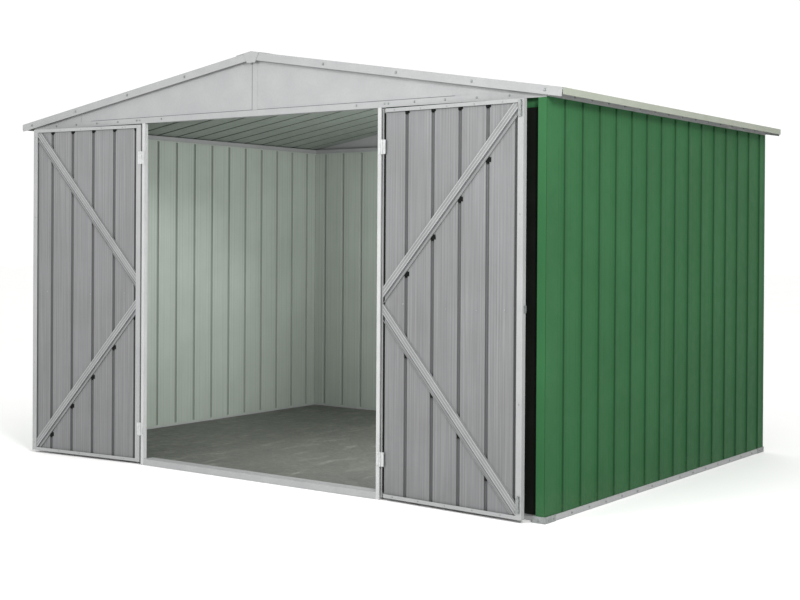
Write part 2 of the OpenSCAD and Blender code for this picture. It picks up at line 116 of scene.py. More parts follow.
def link_object(name: str, mesh: bpy.types.Mesh) -> bpy.types.Object:
    """Puts a mesh in the scene as an object at the origin.

    Args:
        name: the piece's name.
        mesh: its mesh, already in place.

    Returns:
        The new object.
    """
    piece = bpy.data.objects.new(name, mesh)
    bpy.context.scene.collection.objects.link(piece)
    return piece


def settle(host: bpy.types.Object, place: Matrix | None = None) -> bpy.types.Object:
    """Turns a piece with a live modifier into a plain mesh at the origin.

    Args:
        host: the object that carries the Geometry Nodes modifier.
        place: where the finished mesh goes.

    Returns:
        The plain piece, under the host's name.
    """
    graph = bpy.context.evaluated_depsgraph_get()
    mesh = bpy.data.meshes.new_from_object(host.evaluated_get(graph), depsgraph=graph)
    name = host.name
    bpy.data.objects.remove(host)
    if place is not None:
        mesh.transform(place)
    mesh.update()
    mesh.name = name
    return link_object(name, mesh)


def dress(name: str, material: bpy.types.Material) -> None:
    """Gives a carried-over node its finish.

    Args:
        name: the node's name.
        material: the finish it takes.
    """
    mesh_object = frame["nodes"][name]
    if not mesh_object.material_slots:
        mesh_object.data.materials.append(material)
    for slot in mesh_object.material_slots:
        slot.material = material


def dress_all(names: tuple[str, ...], material: bpy.types.Material) -> None:
    """Gives several carried-over nodes the same finish.

    Args:
        names: the nodes' names.
        material: the finish they take.
    """
    for name in names:
        dress(name, material)


# --- finishes ----------------------------------------------------------------------------


@dataclass(frozen=True)
class Finish:
    """What every finish shares: its name, its two tones and its gloss.

    Attributes:
        name: the material's name.
        tone: main colour.
        second: colour that the pattern varies towards.
        rough: mean roughness.
        metal: metallic share.
    """

    name: str
    tone: str
    second: str
    rough: float
    metal: float = 0.0

    def start(self) -> tuple[bpy.types.NodeTree, bpy.types.Node, bpy.types.Node]:
        """Makes the material with its shader and Object coordinates.

        Returns:
            The tree, the shader node and the coordinate node.
        """
        material = bpy.data.materials.new(self.name)
        material.use_nodes = True
        tree = material.node_tree
        shader = tree.nodes["Principled BSDF"]
        shader.inputs["Metallic"].default_value = self.metal
        place = node(tree, "ShaderNodeTexCoord")
        return tree, shader, place

    def noise(
        self, tree: bpy.types.NodeTree, place: bpy.types.Node, size: float, detail: float = 2.0,
        stretch: Point = (1.0, 1.0, 1.0),
    ) -> bpy.types.NodeSocket:
        """Adds a noise of a real size.

        Args:
            tree: the material's tree.
            place: the coordinate node.
            size: width of a blotch, in millimetres.
            detail: octaves of finer noise.
            stretch: factors on the coordinates, under 1 to draw the blotches out.

        Returns:
            The noise's value socket.
        """
        turned = node(tree, "ShaderNodeMapping", {"Vector": place.outputs["Object"], "Scale": stretch})
        made = node(
            tree, "ShaderNodeTexNoise",
            {"Vector": turned.outputs["Vector"], "Scale": per_mm(size), "Detail": detail, "Roughness": 0.55},
        )
        return made.outputs["Fac"]

    def ramp(
        self, tree: bpy.types.NodeTree, value: bpy.types.NodeSocket, low: float, high: float,
        out_low: float = 0.0, out_high: float = 1.0,
    ) -> bpy.types.NodeSocket:
        """Maps a value from one range to another, and clamps it.

        Args:
            tree: the material's tree.
            value: the value's socket.
            low: start of the range that is read.
            high: end of that range.
            out_low: what the start becomes.
            out_high: what the end becomes.

        Returns:
            The mapped value's socket.
        """
        made = node(
            tree, "ShaderNodeMapRange",
            {"Value": value, "From Min": low, "From Max": high, "To Min": out_low, "To Max": out_high},
        )
        return made.outputs["Result"]

    def blend(
        self, tree: bpy.types.NodeTree, share: bpy.types.NodeSocket,
        first: str | bpy.types.NodeSocket, second: str | bpy.types.NodeSocket,
    ) -> bpy.types.NodeSocket:
        """Mixes two colours.

        Args:
            tree: the material's tree.
            share: how much of the second shows.
            first: a hex colour or a colour socket.
            second: a hex colour or a colour socket.

        Returns:
            The mixed colour's socket.
        """
        made = node(
            tree, "ShaderNodeMix",
            {0: share, 6: linear(first) if isinstance(first, str) else first,
             7: linear(second) if isinstance(second, str) else second},
            data_type="RGBA",
        )
        return made.outputs[2]

    def rolled_lines(self, tree: bpy.types.NodeTree, lines: tuple[float, ...]) -> bpy.types.NodeSocket:
        """Draws the fine lines that the rolls leave along the pans, from the sheet's own attribute.

        Args:
            tree: the material's tree.
            lines: distance of each line from the nearest rib, in millimetres.

        Returns:
            A socket that is 1 on a line and 0 off it.
        """
        away = node(tree, "ShaderNodeAttribute", attribute_name="away").outputs["Fac"]
        total = None
        core, fade = 0.5, 2.4  # half the width of a line and of its soft edge, in millimetres
        for line in lines:
            off = node(tree, "ShaderNodeMath", {0: away, 1: line}, operation="SUBTRACT").outputs[0]
            off = node(tree, "ShaderNodeMath", {0: off}, operation="ABSOLUTE").outputs[0]
            mark = self.ramp(tree, off, core, fade, 1.0, 0.0)
            if total is not None:
                mark = node(tree, "ShaderNodeMath", {0: mark, 1: total}, operation="MAXIMUM").outputs[0]
            total = mark
        return total

    def gloss(
        self, tree: bpy.types.NodeTree, shader: bpy.types.Node, pattern: bpy.types.NodeSocket,
        less: float, more: float,
    ) -> None:
        """Varies the roughness with a pattern.

        Args:
            tree: the material's tree.
            shader: the shader node.
            pattern: the pattern's socket, from 0 to 1.
            less: how much smoother it gets.
            more: how much rougher it gets.
        """
        value = self.ramp(tree, pattern, 0.0, 1.0, self.rough - less, self.rough + more)
        tree.links.new(value, shader.inputs["Roughness"])

    def bump(
        self, tree: bpy.types.NodeTree, height: bpy.types.NodeSocket, depth: float, strength: float,
        under: bpy.types.NodeSocket | None = None,
    ) -> bpy.types.NodeSocket:
        """Adds a bump.

        Args:
            tree: the material's tree.
            height: the height's socket.
            depth: real depth of the pattern, in millimetres.
            strength: how much of it is used.
            under: the normal that it is laid on.

        Returns:
            The normal's socket.
        """
        inputs: dict = {"Height": height, "Distance": depth * MM, "Strength": strength}
        if under is not None:
            inputs["Normal"] = under
        return node(tree, "ShaderNodeBump", inputs).outputs["Normal"]


@dataclass(frozen=True)
class CoilCoat(Finish):
    """Polyester paint baked on galvanised coil before it is rolled to shape.

    The eye sees an even film with little gloss, painted shade on the flanks of the ribs, fine lines that the
    rolls left along the pans, a faint orange peel, long soft waves in the thin sheet, faint rain
    streaks, dust at the foot, and painted shade that deepens towards the foot.
    """

    # Dark green of the painted shade on the ribs' flanks and towards the foot; the fine lines along the pans
    # are drawn in it too.
    groove_shade: str = "#12301A"
    dust: str = "#4E5B48"
    lines: tuple[float, ...] = (26.0, 50.0)

    def build(self) -> bpy.types.Material:
        """Builds the paint.

        Returns:
            The material.
        """
        tree, shader, place = self.start()
        blotch = self.ramp(tree, self.noise(tree, place, 420, 3), 0.3, 0.7)
        streak = self.ramp(tree, self.noise(tree, place, 22, 3, (1, 1, 0.04)), 0.5, 0.85, 0.0, 0.05)
        coat = self.blend(tree, blotch, self.tone, self.second)
        coat = self.blend(tree, streak, coat, self.dust)
        # Painted shade on the flanks of the ribs, lighter again on their crests.
        rib = node(tree, "ShaderNodeAttribute", attribute_name="rib")
        edge = self.ramp(tree, rib.outputs["Fac"], 0.02, 0.3, 0.0, 1.0)
        crest = self.ramp(tree, rib.outputs["Fac"], 0.72, 1.0, 1.0, 0.25)
        flank_shade = node(tree, "ShaderNodeMath", {0: edge, 1: crest}, operation="MULTIPLY")
        share = self.ramp(tree, flank_shade.outputs[0], 0.0, 1.0, 0.0, 0.85)
        coat = self.blend(tree, share, coat, self.groove_shade)
        rolled = self.rolled_lines(tree, self.lines)
        coat = self.blend(tree, self.ramp(tree, rolled, 0.0, 1.0, 0.0, 0.28), coat, self.groove_shade)
        apart = node(tree, "ShaderNodeSeparateXYZ", {"Vector": place.outputs["Object"]})
        # Painted shade: the paint darkens towards the foot, over the lowest 1.6 m.
        painted_foot_shade = self.ramp(tree, apart.outputs["Z"], 0.0, 1.6, 0.30, 0.0)
        coat = self.blend(tree, painted_foot_shade, coat, self.groove_shade)
        low = self.ramp(tree, apart.outputs["Z"], 0.01, 0.14, 0.35, 0.0)
        grit = self.ramp(tree, self.noise(tree, place, 14, 4), 0.4, 0.75)
        dusty = node(tree, "ShaderNodeMath", {0: low, 1: grit}, operation="MULTIPLY")
        coat = self.blend(tree, dusty.outputs[0], coat, self.dust)
        tree.links.new(coat, shader.inputs["Base Color"])
        shine = self.ramp(tree, self.noise(tree, place, 60, 3), 0.3, 0.7)
        self.gloss(tree, shader, shine, 0.05, 0.07)
        shader.inputs["IOR"].default_value = 1.5
        shader.inputs["Specular IOR Level"].default_value = 0.06
        waves = self.bump(tree, self.noise(tree, place, 260, 1, (1, 1, 0.35)), 3.0, 0.35)
        peel = self.bump(tree, self.noise(tree, place, 4, 2), 0.05, 0.25, waves)
        tree.links.new(peel, shader.inputs["Normal"])
        return bpy.data.materials[self.name]


@dataclass(frozen=True)
class BackingCoat(Finish):
    """Thin grey wash coat on the back of the painted coil.

    The eye sees a flat grey with pale roller streaks along the coil and thin lines from the rolls,
    with painted shade in the grooves that the ribs make and towards the foot.
    """

    sheen: str = "#E8E8E8"
    # Dark colour of the painted shade in the grooves and towards the foot; the thin lines from the rolls are
    # drawn in it too.
    groove_shade: str = "#5E605F"
    groove_shade_share: float = 0.8
    lines: tuple[float, ...] = (26.0, 50.0)
    line_share: float = 0.25
    foot_shade_share: float = 0.0

    def build(self) -> bpy.types.Material:
        """Builds the wash coat.

        Returns:
            The material.
        """
        tree, shader, place = self.start()
        blotch = self.ramp(tree, self.noise(tree, place, 300, 3), 0.3, 0.7)
        coat = self.blend(tree, blotch, self.tone, self.second)
        roller = self.ramp(tree, self.noise(tree, place, 5, 2, (1, 1, 0.01)), 0.42, 0.72, 0.0, 0.07)
        coat = self.blend(tree, roller, coat, self.sheen)
        rolled = self.rolled_lines(tree, self.lines)
        coat = self.blend(tree, self.ramp(tree, rolled, 0.0, 1.0, 0.0, self.line_share), coat, self.groove_shade)
        # Painted shade in the grooves that the ribs make.
        rib = node(tree, "ShaderNodeAttribute", attribute_name="rib")
        share = self.ramp(tree, rib.outputs["Fac"], 0.0, 0.18, 0.0, self.groove_shade_share)
        coat = self.blend(tree, share, coat, self.groove_shade)
        # Painted shade that deepens towards the foot, over the lowest 1.7 m.
        if self.foot_shade_share:
            apart = node(tree, "ShaderNodeSeparateXYZ", {"Vector": place.outputs["Object"]})
            foot = self.ramp(tree, apart.outputs["Z"], 0.0, 1.7, self.foot_shade_share, 0.0)
            coat = self.blend(tree, foot, coat, self.groove_shade)
        tree.links.new(coat, shader.inputs["Base Color"])
        shine = self.ramp(tree, self.noise(tree, place, 35, 3), 0.3, 0.7)
        self.gloss(tree, shader, shine, 0.06, 0.08)
        waves = self.bump(tree, self.noise(tree, place, 240, 1, (1, 1, 0.35)), 3.0, 0.3)
        tree.links.new(waves, shader.inputs["Normal"])
        return bpy.data.materials[self.name]


@dataclass(frozen=True)
class GalvanisedSheet(Finish):
    """Hot-dipped zinc on folded sheet, passivated so that it stays pale.

    The eye sees a light matt metal with a faint crystal spangle 7 to 8 mm across, soft cloudy
    stains and long shallow waves.
    """

    flake: str = "#8E9290"
    spangle_mm: float = 8.0

    def build(self) -> bpy.types.Material:
        """Builds the zinc.

        Returns:
            The material.
        """
        tree, shader, place = self.start()
        cells = node(
            tree, "ShaderNodeTexVoronoi",
            {"Vector": place.outputs["Object"], "Scale": per_mm(self.spangle_mm), "Randomness": 1.0},
        )
        grey = node(tree, "ShaderNodeRGBToBW", {"Color": cells.outputs["Color"]})
        cloud = self.ramp(tree, self.noise(tree, place, 120, 4), 0.35, 0.72)
        coat = self.blend(tree, cloud, self.tone, self.second)
        flake = self.ramp(tree, grey.outputs["Val"], 0.2, 0.8, 0.0, 0.06)
        coat = self.blend(tree, flake, coat, self.flake)
        tree.links.new(coat, shader.inputs["Base Color"])
        shader.inputs["Specular IOR Level"].default_value = 0.3
        self.gloss(tree, shader, self.ramp(tree, grey.outputs["Val"], 0.2, 0.8), 0.05, 0.06)
        waves = self.bump(tree, self.noise(tree, place, 160, 1), 1.2, 0.25)
        tree.links.new(self.bump(tree, grey.outputs["Val"], 0.03, 0.2, waves), shader.inputs["Normal"])
        return bpy.data.materials[self.name]


@dataclass(frozen=True)
class PlatedFitting(Finish):
    """Electroplated zinc on pressed hinges, bolts, brackets and screws.

    The eye sees a glossier metal than the sheet, cloudy with handling and darker where the
    plating is worn.
    """

    worn: str = "#4E5250"

    def build(self) -> bpy.types.Material:
        """Builds the plating.

        Returns:
            The material.
        """
        tree, shader, place = self.start()
        cloud = self.ramp(tree, self.noise(tree, place, 18, 4), 0.35, 0.7)
        coat = self.blend(tree, cloud, self.tone, self.second)
        patches = self.ramp(tree, self.noise(tree, place, 5, 3), 0.58, 0.75, 0.0, 0.5)
        coat = self.blend(tree, patches, coat, self.worn)
        tree.links.new(coat, shader.inputs["Base Color"])
        shine = self.ramp(tree, self.noise(tree, place, 8, 3), 0.3, 0.7)
        self.gloss(tree, shader, shine, 0.07, 0.1)
        grain = self.bump(tree, self.noise(tree, place, 1.5, 2), 0.04, 0.3)
        tree.links.new(grain, shader.inputs["Normal"])
        return bpy.data.materials[self.name]


@dataclass(frozen=True)
class PaintedShadeFill(Finish):
    """Matt dark colour that stands in for deep shade: black painted shade and grey painted shade lines.

    The eye sees a matt face with fine upright lines in its bump and a paler bloom.
    """

    def build(self) -> bpy.types.Material:
        """Builds the rubber.

        Returns:
            The material.
        """
        tree, shader, place = self.start()
        shader.inputs["Specular IOR Level"].default_value = 0.12
        bloom = self.ramp(tree, self.noise(tree, place, 70, 4), 0.45, 0.8, 0.0, 0.6)
        tree.links.new(self.blend(tree, bloom, self.tone, self.second), shader.inputs["Base Color"])
        shine = self.ramp(tree, self.noise(tree, place, 30, 3), 0.3, 0.7)
        self.gloss(tree, shader, shine, 0.08, 0.06)
        lines = self.bump(tree, self.noise(tree, place, 3, 2, (1, 1, 0.02)), 0.3, 0.4)
        tree.links.new(lines, shader.inputs["Normal"])
        return bpy.data.materials[self.name]


@dataclass(frozen=True)
class CoatedBoard(Finish):
    """Flooring board with a phenolic film, the kind laid in sheds and trailers.

    The eye sees dark grey with a small pressed grain, paler scuffs where feet go, and specks of
    trodden dirt, drawn coarse so that they show.
    """

    scuff: str = "#8B8C83"
    pit: str = "#3E403B"

    def build(self) -> bpy.types.Material:
        """Builds the board.

        Returns:
            The material.
        """
        tree, shader, place = self.start()
        cloud = self.ramp(tree, self.noise(tree, place, 350, 5), 0.3, 0.7)
        coat = self.blend(tree, cloud, self.tone, self.second)
        marks = self.ramp(tree, self.noise(tree, place, 45, 6, (1, 0.25, 1)), 0.55, 0.75, 0.0, 0.45)
        coat = self.blend(tree, marks, coat, self.scuff)
        speckle = self.ramp(tree, self.noise(tree, place, 16, 5), 0.38, 0.62, 0.0, 0.55)
        coat = self.blend(tree, speckle, coat, self.pit)
        tree.links.new(coat, shader.inputs["Base Color"])
        shine = self.ramp(tree, self.noise(tree, place, 40, 3), 0.3, 0.7)
        self.gloss(tree, shader, shine, 0.1, 0.1)
        grain = node(
            tree, "ShaderNodeTexVoronoi", {"Vector": place.outputs["Object"], "Scale": per_mm(5)},
        )
        tree.links.new(self.bump(tree, grain.outputs["Distance"], 0.3, 0.3), shader.inputs["Normal"])
        return bpy.data.materials[self.name]


@dataclass(frozen=True)
class StudioPaper(Finish):
    """Plain pale backdrop paper, matt and almost without grain."""

    def build(self) -> bpy.types.Material:
        """Builds the paper.

        Returns:
            The material.
        """
        tree, shader, place = self.start()
        cloud = self.ramp(tree, self.noise(tree, place, 900, 2), 0.3, 0.7)
        tree.links.new(self.blend(tree, cloud, self.tone, self.second), shader.inputs["Base Color"])
        shader.inputs["Roughness"].default_value = self.rough
        return bpy.data.materials[self.name]


@dataclass
class Finishes:
    """All the finishes, each built once."""

    green: bpy.types.Material = field(init=False)
    wall_back: bpy.types.Material = field(init=False)
    roof_back: bpy.types.Material = field(init=False)
    door_back: bpy.types.Material = field(init=False)
    zinc: bpy.types.Material = field(init=False)
    brace_zinc: bpy.types.Material = field(init=False)
    jamb_zinc: bpy.types.Material = field(init=False)
    eave_zinc: bpy.types.Material = field(init=False)
    fitting: bpy.types.Material = field(init=False)
    bright_fitting: bpy.types.Material = field(init=False)
    black_shade: bpy.types.Material = field(init=False)
    grey_shade: bpy.types.Material = field(init=False)
    board: bpy.types.Material = field(init=False)
    paper: bpy.types.Material = field(init=False)

    def __post_init__(self) -> None:
        """Builds each material."""
        self.green = CoilCoat("green_coil_coat", "#2D5A37", "#295332", 0.52).build()
        self.wall_back = BackingCoat(
            "wall_backing_coat", "#9BA39B", "#939B93", 0.5, groove_shade="#5F665F", groove_shade_share=0.7,
            foot_shade_share=0.34,
        ).build()
        self.roof_back = BackingCoat(
            "roof_backing_coat", "#7B837C", "#727A73", 0.5, groove_shade="#353B36", groove_shade_share=0.92
        ).build()
        self.door_back = BackingCoat(
            "door_backing_coat", "#6A6B6C", "#636464", 0.5, groove_shade="#3C3D3E", groove_shade_share=0.92,
            lines=(21.0, 35.0, 49.0, 63.0), line_share=0.22, foot_shade_share=0.24,
        ).build()
        self.zinc = GalvanisedSheet("galvanised_sheet", "#929393", "#8C8D8E", 0.6, 0.2).build()
        self.brace_zinc = GalvanisedSheet("rolled_brace_zinc", "#7A7B7B", "#6F7070", 0.6, 0.2).build()
        self.jamb_zinc = GalvanisedSheet(
            "galvanised_jamb", "#A9AAAA", "#A1A2A2", 0.6, 0.2, spangle_mm=7.0
        ).build()
        self.eave_zinc = GalvanisedSheet("galvanised_eave", "#91968A", "#8A8F82", 0.6, 0.2).build()
        self.fitting = PlatedFitting("zinc_plated_fitting", "#868A89", "#717574", 0.5, 0.45).build()
        self.bright_fitting = PlatedFitting("bright_plated_fitting", "#B2B3B3", "#9FA1A1", 0.5, 0.3).build()
        # Painted shade: black for the deep shade beside the front corners and in the door ribs' hollows, grey
        # for the shade lines beside the gable lap, over the header and at the foot of the brace hats.
        self.black_shade = PaintedShadeFill("black_painted_shade", "#070A07", "#101310", 0.75).build()
        self.grey_shade = PaintedShadeFill("grey_painted_shade", "#55575A", "#484A4C", 0.7).build()
        self.board = CoatedBoard("coated_floor_board", "#565852", "#4C4E49", 0.6).build()
        self.paper = StudioPaper("backdrop_paper", "#FAFAF9", "#F8F8F7", 0.9).build()


# --- geometry trees ----------------------------------------------------------------------


class Socket(Enum):
    """Kinds of input that a geometry tree takes."""

    LENGTH = "NodeSocketFloat"
    COUNT = "NodeSocketInt"
    CHOICE = "NodeSocketBool"
    FINISH = "NodeSocketMaterial"
    SHAPE = "NodeSocketGeometry"


@dataclass
class ShapeTree:
    """A Geometry Nodes tree with named inputs.

    Attributes:
        name: the tree's name.
        inputs: each input's name and kind, in order.
    """

    name: str
    inputs: dict[str, Socket]
    tree: bpy.types.NodeTree = field(init=False)
    given: bpy.types.Node = field(init=False)

    def __post_init__(self) -> None:
        """Makes the tree's interface and draws its nodes."""
        self.tree = bpy.data.node_groups.new(self.name, "GeometryNodeTree")
        for name, kind in self.inputs.items():
            self.tree.interface.new_socket(name=name, in_out="INPUT", socket_type=kind.value)
        self.tree.interface.new_socket(name="Geometry", in_out="OUTPUT", socket_type=Socket.SHAPE.value)
        self.given = node(self.tree, "NodeGroupInput")
        shape = self.draw()
        node(self.tree, "NodeGroupOutput", {"Geometry": shape})

    def draw(self) -> bpy.types.NodeSocket:
        """Draws the nodes, and returns the finished shape's socket."""
        raise NotImplementedError

    def maths(
        self, operation: str, first: object, second: object = 0.0, third: object = 0.0
    ) -> bpy.types.NodeSocket:
        """Adds one step of arithmetic.

        Args:
            operation: the Math node's operation.
            first: first value or socket.
            second: second value or socket.
            third: third value or socket.

        Returns:
            The result's socket.
        """
        made = node(self.tree, "ShaderNodeMath", {0: first, 1: second, 2: third}, operation=operation)
        return made.outputs[0]

    def apply(self, host: bpy.types.Object, values: dict[str, object]) -> None:
        """Puts the tree on an object and sets its inputs by their identifiers.

        Args:
            host: the object that gets the modifier.
            values: each input's name and value.
        """
        modifier = host.modifiers.new(self.name, "NODES")
        modifier.node_group = self.tree
        for item in self.tree.interface.items_tree:
            if item.in_out == "INPUT" and item.name in values:
                modifier[item.identifier] = values[item.name]


class RibbedSheetTree(ShapeTree):
    """Rolls a flat sheet into pans and ribs, and gives it its thickness.

    The sheet starts as a grid of fine columns and six rows: its foot, the two ends of the lower
    fade, the two ends of the upper fade, and its head. Ribs stand on the middle two rows only, so
    that they fade out into flat ends.
    """

    ROWS = 6
    FOLD_WELD = 1e-6
    EDGE_WELD = 1e-5

    def row_height(self, row: bpy.types.NodeSocket) -> bpy.types.NodeSocket:
        """Gives the height of a grid row.

        Args:
            row: the row's number.

        Returns:
            The height's socket.
        """
        given = self.given.outputs
        low_fade = self.maths("ADD", given["Flat Low"], given["Ramp"])
        high_flat = self.maths("SUBTRACT", given["Height"], given["Flat High"])
        high_fade = self.maths("SUBTRACT", high_flat, given["Ramp"])
        levels = node(self.tree, "GeometryNodeIndexSwitch", data_type="FLOAT")
        while len(levels.index_switch_items) < self.ROWS:
            levels.index_switch_items.new()
        self.tree.links.new(row, levels.inputs[0])
        levels.inputs[1].default_value = 0.0
        heights = (given["Flat Low"], low_fade, high_fade, high_flat, given["Height"])
        for number, level in enumerate(heights, start=2):
            self.tree.links.new(level, levels.inputs[number])
        return self.maths("ADD", levels.outputs[0], given["Bottom"])

    def from_rib(self, x: bpy.types.NodeSocket) -> bpy.types.NodeSocket:
        """Gives the distance from the nearest rib.

        Args:
            x: place along the sheet.

        Returns:
            The distance's socket.
        """
        given = self.given.outputs
        steps = self.maths("DIVIDE", self.maths("SUBTRACT", x, given["First Rib"]), given["Pitch"])
        last = self.maths("SUBTRACT", given["Ribs"], 1.0)
        nearest = self.maths("MAXIMUM", self.maths("MINIMUM", self.maths("ROUND", steps), last), 0.0)
        centre = self.maths("MULTIPLY_ADD", nearest, given["Pitch"], given["First Rib"])
        return self.maths("ABSOLUTE", self.maths("SUBTRACT", x, centre))

    def mark(
        self, shape: bpy.types.NodeSocket, name: str, value: bpy.types.NodeSocket, data_type: str = "FLOAT",
        domain: str = "POINT",
    ) -> bpy.types.NodeSocket:
        """Stores a value on the sheet.

        Args:
            shape: the sheet.
            name: the attribute's name.
            value: the value's socket.
            data_type: its type.
            domain: what carries it.

        Returns:
            The marked sheet's socket.
        """
        return node(
            self.tree, "GeometryNodeStoreNamedAttribute", {"Geometry": shape, "Name": name, "Value": value},
            data_type=data_type, domain=domain,
        ).outputs[0]

    def draw(self) -> bpy.types.NodeSocket:
        """Draws the sheet's nodes.

        Returns:
            The finished sheet's socket.
        """
        given = self.given.outputs
        t = self.tree
        steps = self.maths("ROUND", self.maths("DIVIDE", given["Width"], given["Step"]))
        grid = node(
            t, "GeometryNodeMeshGrid",
            {"Size X": given["Width"], "Size Y": 1.0, "Vertices X": self.maths("ADD", steps, 1.0),
             "Vertices Y": self.ROWS},
        )
        spot = node(t, "ShaderNodeSeparateXYZ", {0: node(t, "GeometryNodeInputPosition").outputs[0]})
        x = self.maths("ADD", spot.outputs["X"], given["Middle"])
        up = self.maths("MULTIPLY", self.maths("ADD", spot.outputs["Y"], 0.5), self.ROWS - 1.0)
        row = self.maths("ROUND", up)
        z = self.row_height(row)
        away = self.from_rib(x)
        rise = node(
            t, "ShaderNodeMapRange",
            {"Value": away, "From Min": self.maths("MULTIPLY", given["Rib Foot"], 0.5),
             "From Max": self.maths("MULTIPLY", given["Rib Crest"], 0.5)},
            interpolation_type="SMOOTHSTEP",
        ).outputs["Result"]
        off_middle = self.maths("ABSOLUTE", self.maths("SUBTRACT", row, (self.ROWS - 1) / 2))
        profile = self.maths("MULTIPLY", rise, self.maths("LESS_THAN", off_middle, 1.0))
        out = self.maths("MULTIPLY", self.maths("MULTIPLY", profile, given["Rib Height"]), -1.0)
        marked = self.mark(grid.outputs["Mesh"], "rib", profile)
        marked = self.mark(marked, "away", self.maths("DIVIDE", away, MM))
        place = node(t, "ShaderNodeCombineXYZ", {"X": x, "Y": out, "Z": z})
        folded = node(t, "GeometryNodeSetPosition", {"Geometry": marked, "Position": place.outputs[0]})
        front = node(
            t, "GeometryNodeMergeByDistance", {"Geometry": folded.outputs[0], "Distance": self.FOLD_WELD}
        ).outputs[0]
        turned = node(t, "GeometryNodeFlipFaces", {"Mesh": front}).outputs[0]
        deep = node(t, "ShaderNodeCombineXYZ", {"Y": given["Thickness"]})
        back = node(
            t, "GeometryNodeExtrudeMesh",
            {"Mesh": turned, "Offset": deep.outputs[0], "Offset Scale": 1.0, "Individual": False},
            mode="FACES",
        )
        rear = self.mark(back.outputs["Mesh"], "inner_side", back.outputs["Top"], "BOOLEAN", "FACE")
        joined = node(t, "GeometryNodeJoinGeometry")
        t.links.new(front, joined.inputs[0])
        t.links.new(rear, joined.inputs[0])
        solid = node(
            t, "GeometryNodeMergeByDistance", {"Geometry": joined.outputs[0], "Distance": self.EDGE_WELD}
        )
        real = node(t, "GeometryNodeRealizeInstances", {"Geometry": solid.outputs[0]})
        coated = node(
            t, "GeometryNodeSetMaterial", {"Geometry": real.outputs[0], "Material": given["Outer Finish"]}
        )
        inner_side = node(t, "GeometryNodeInputNamedAttribute", {"Name": "inner_side"}, data_type="BOOLEAN")
        return node(
            t, "GeometryNodeSetMaterial",
            {"Geometry": coated.outputs[0], "Selection": inner_side.outputs["Attribute"],
             "Material": given["Inner Finish"]},
        ).outputs[0]


class FixingTree(ShapeTree):
    """Sets a screw or rivet head on each vertex of its host, along the host's out vectors."""

    HEX_SIDES = 6
    WASHER_SIDES = 18
    WASHER_TOP = 0.72
    DOME_SIDES = 14
    DOME_RINGS = 8

    def draw(self) -> bpy.types.NodeSocket:
        """Draws the fixing's nodes.

        Returns:
            The finished fixings' socket.
        """
        given = self.given.outputs
        t = self.tree
        shank = node(
            t, "GeometryNodeMeshCylinder",
            {"Vertices": self.HEX_SIDES, "Radius": given["Head Radius"], "Depth": given["Head Height"]},
        )
        lift = self.maths("ADD", given["Washer Height"], self.maths("MULTIPLY", given["Head Height"], 0.5))
        up = node(t, "ShaderNodeCombineXYZ", {"Z": lift})
        hexagon = node(
            t, "GeometryNodeTransform", {"Geometry": shank.outputs["Mesh"], "Translation": up.outputs[0]}
        )
        washer = node(
            t, "GeometryNodeMeshCone",
            {"Vertices": self.WASHER_SIDES, "Radius Bottom": given["Washer Radius"],
             "Radius Top": self.maths("MULTIPLY", given["Washer Radius"], self.WASHER_TOP),
             "Depth": given["Washer Height"]},
        )
        screw = node(t, "GeometryNodeJoinGeometry")
        t.links.new(hexagon.outputs[0], screw.inputs[0])
        t.links.new(washer.outputs["Mesh"], screw.inputs[0])
        ball = node(
            t, "GeometryNodeMeshUVSphere",
            {"Segments": self.DOME_SIDES, "Rings": self.DOME_RINGS, "Radius": given["Head Radius"]},
        )
        squash = self.maths("DIVIDE", given["Head Height"], given["Head Radius"])
        flat = node(t, "ShaderNodeCombineXYZ", {"X": 1.0, "Y": 1.0, "Z": squash})
        rivet = node(t, "GeometryNodeTransform", {"Geometry": ball.outputs["Mesh"], "Scale": flat.outputs[0]})
        head = node(
            t, "GeometryNodeSwitch",
            {"Switch": given["Domed"], "False": screw.outputs[0], "True": rivet.outputs[0]},
            input_type="GEOMETRY",
        )
        out = node(t, "GeometryNodeInputNamedAttribute", {"Name": "out"}, data_type="FLOAT_VECTOR")
        aim = node(t, "FunctionNodeAlignRotationToVector", {"Vector": out.outputs["Attribute"]}, axis="Z")
        spin = node(t, "FunctionNodeRandomValue", {"Seed": given["Seed"]}, data_type="FLOAT")
        spin.inputs[2].default_value = 0.0
        spin.inputs[3].default_value = math.tau
        turn = node(t, "FunctionNodeAxisAngleToRotation", {"Axis": (0, 0, 1), "Angle": spin.outputs[1]})
        aimed = node(
            t, "FunctionNodeRotateRotation", {"Rotation": aim.outputs[0], "Rotate By": turn.outputs[0]},
            rotation_space="LOCAL",
        )
        copies = node(
            t, "GeometryNodeInstanceOnPoints",
            {"Points": given["Geometry"], "Instance": head.outputs[0], "Rotation": aimed.outputs[0]},
        )
        real = node(t, "GeometryNodeRealizeInstances", {"Geometry": copies.outputs[0]})
        return node(
            t, "GeometryNodeSetMaterial", {"Geometry": real.outputs[0], "Material": given["Finish"]}
        ).outputs[0]


@dataclass
class Trees:
    """The geometry trees, each built once."""

    sheet: RibbedSheetTree = field(init=False)
    fixing: FixingTree = field(init=False)

    def __post_init__(self) -> None:
        """Builds each tree."""
        size = Socket.LENGTH
        self.sheet = RibbedSheetTree(
            "ribbed_sheet",
            {"Geometry": Socket.SHAPE, "Width": size, "Middle": size, "Bottom": size, "Height": size,
             "Flat Low": size, "Flat High": size, "Ramp": size, "First Rib": size, "Ribs": Socket.COUNT,
             "Pitch": size, "Rib Foot": size, "Rib Crest": size, "Rib Height": size, "Thickness": size,
             "Step": size, "Outer Finish": Socket.FINISH, "Inner Finish": Socket.FINISH},
        )
        self.fixing = FixingTree(
            "fixing_heads",
            {"Geometry": Socket.SHAPE, "Head Radius": size, "Head Height": size, "Washer Radius": size,
             "Washer Height": size, "Domed": Socket.CHOICE, "Seed": Socket.COUNT, "Finish": Socket.FINISH},
        )


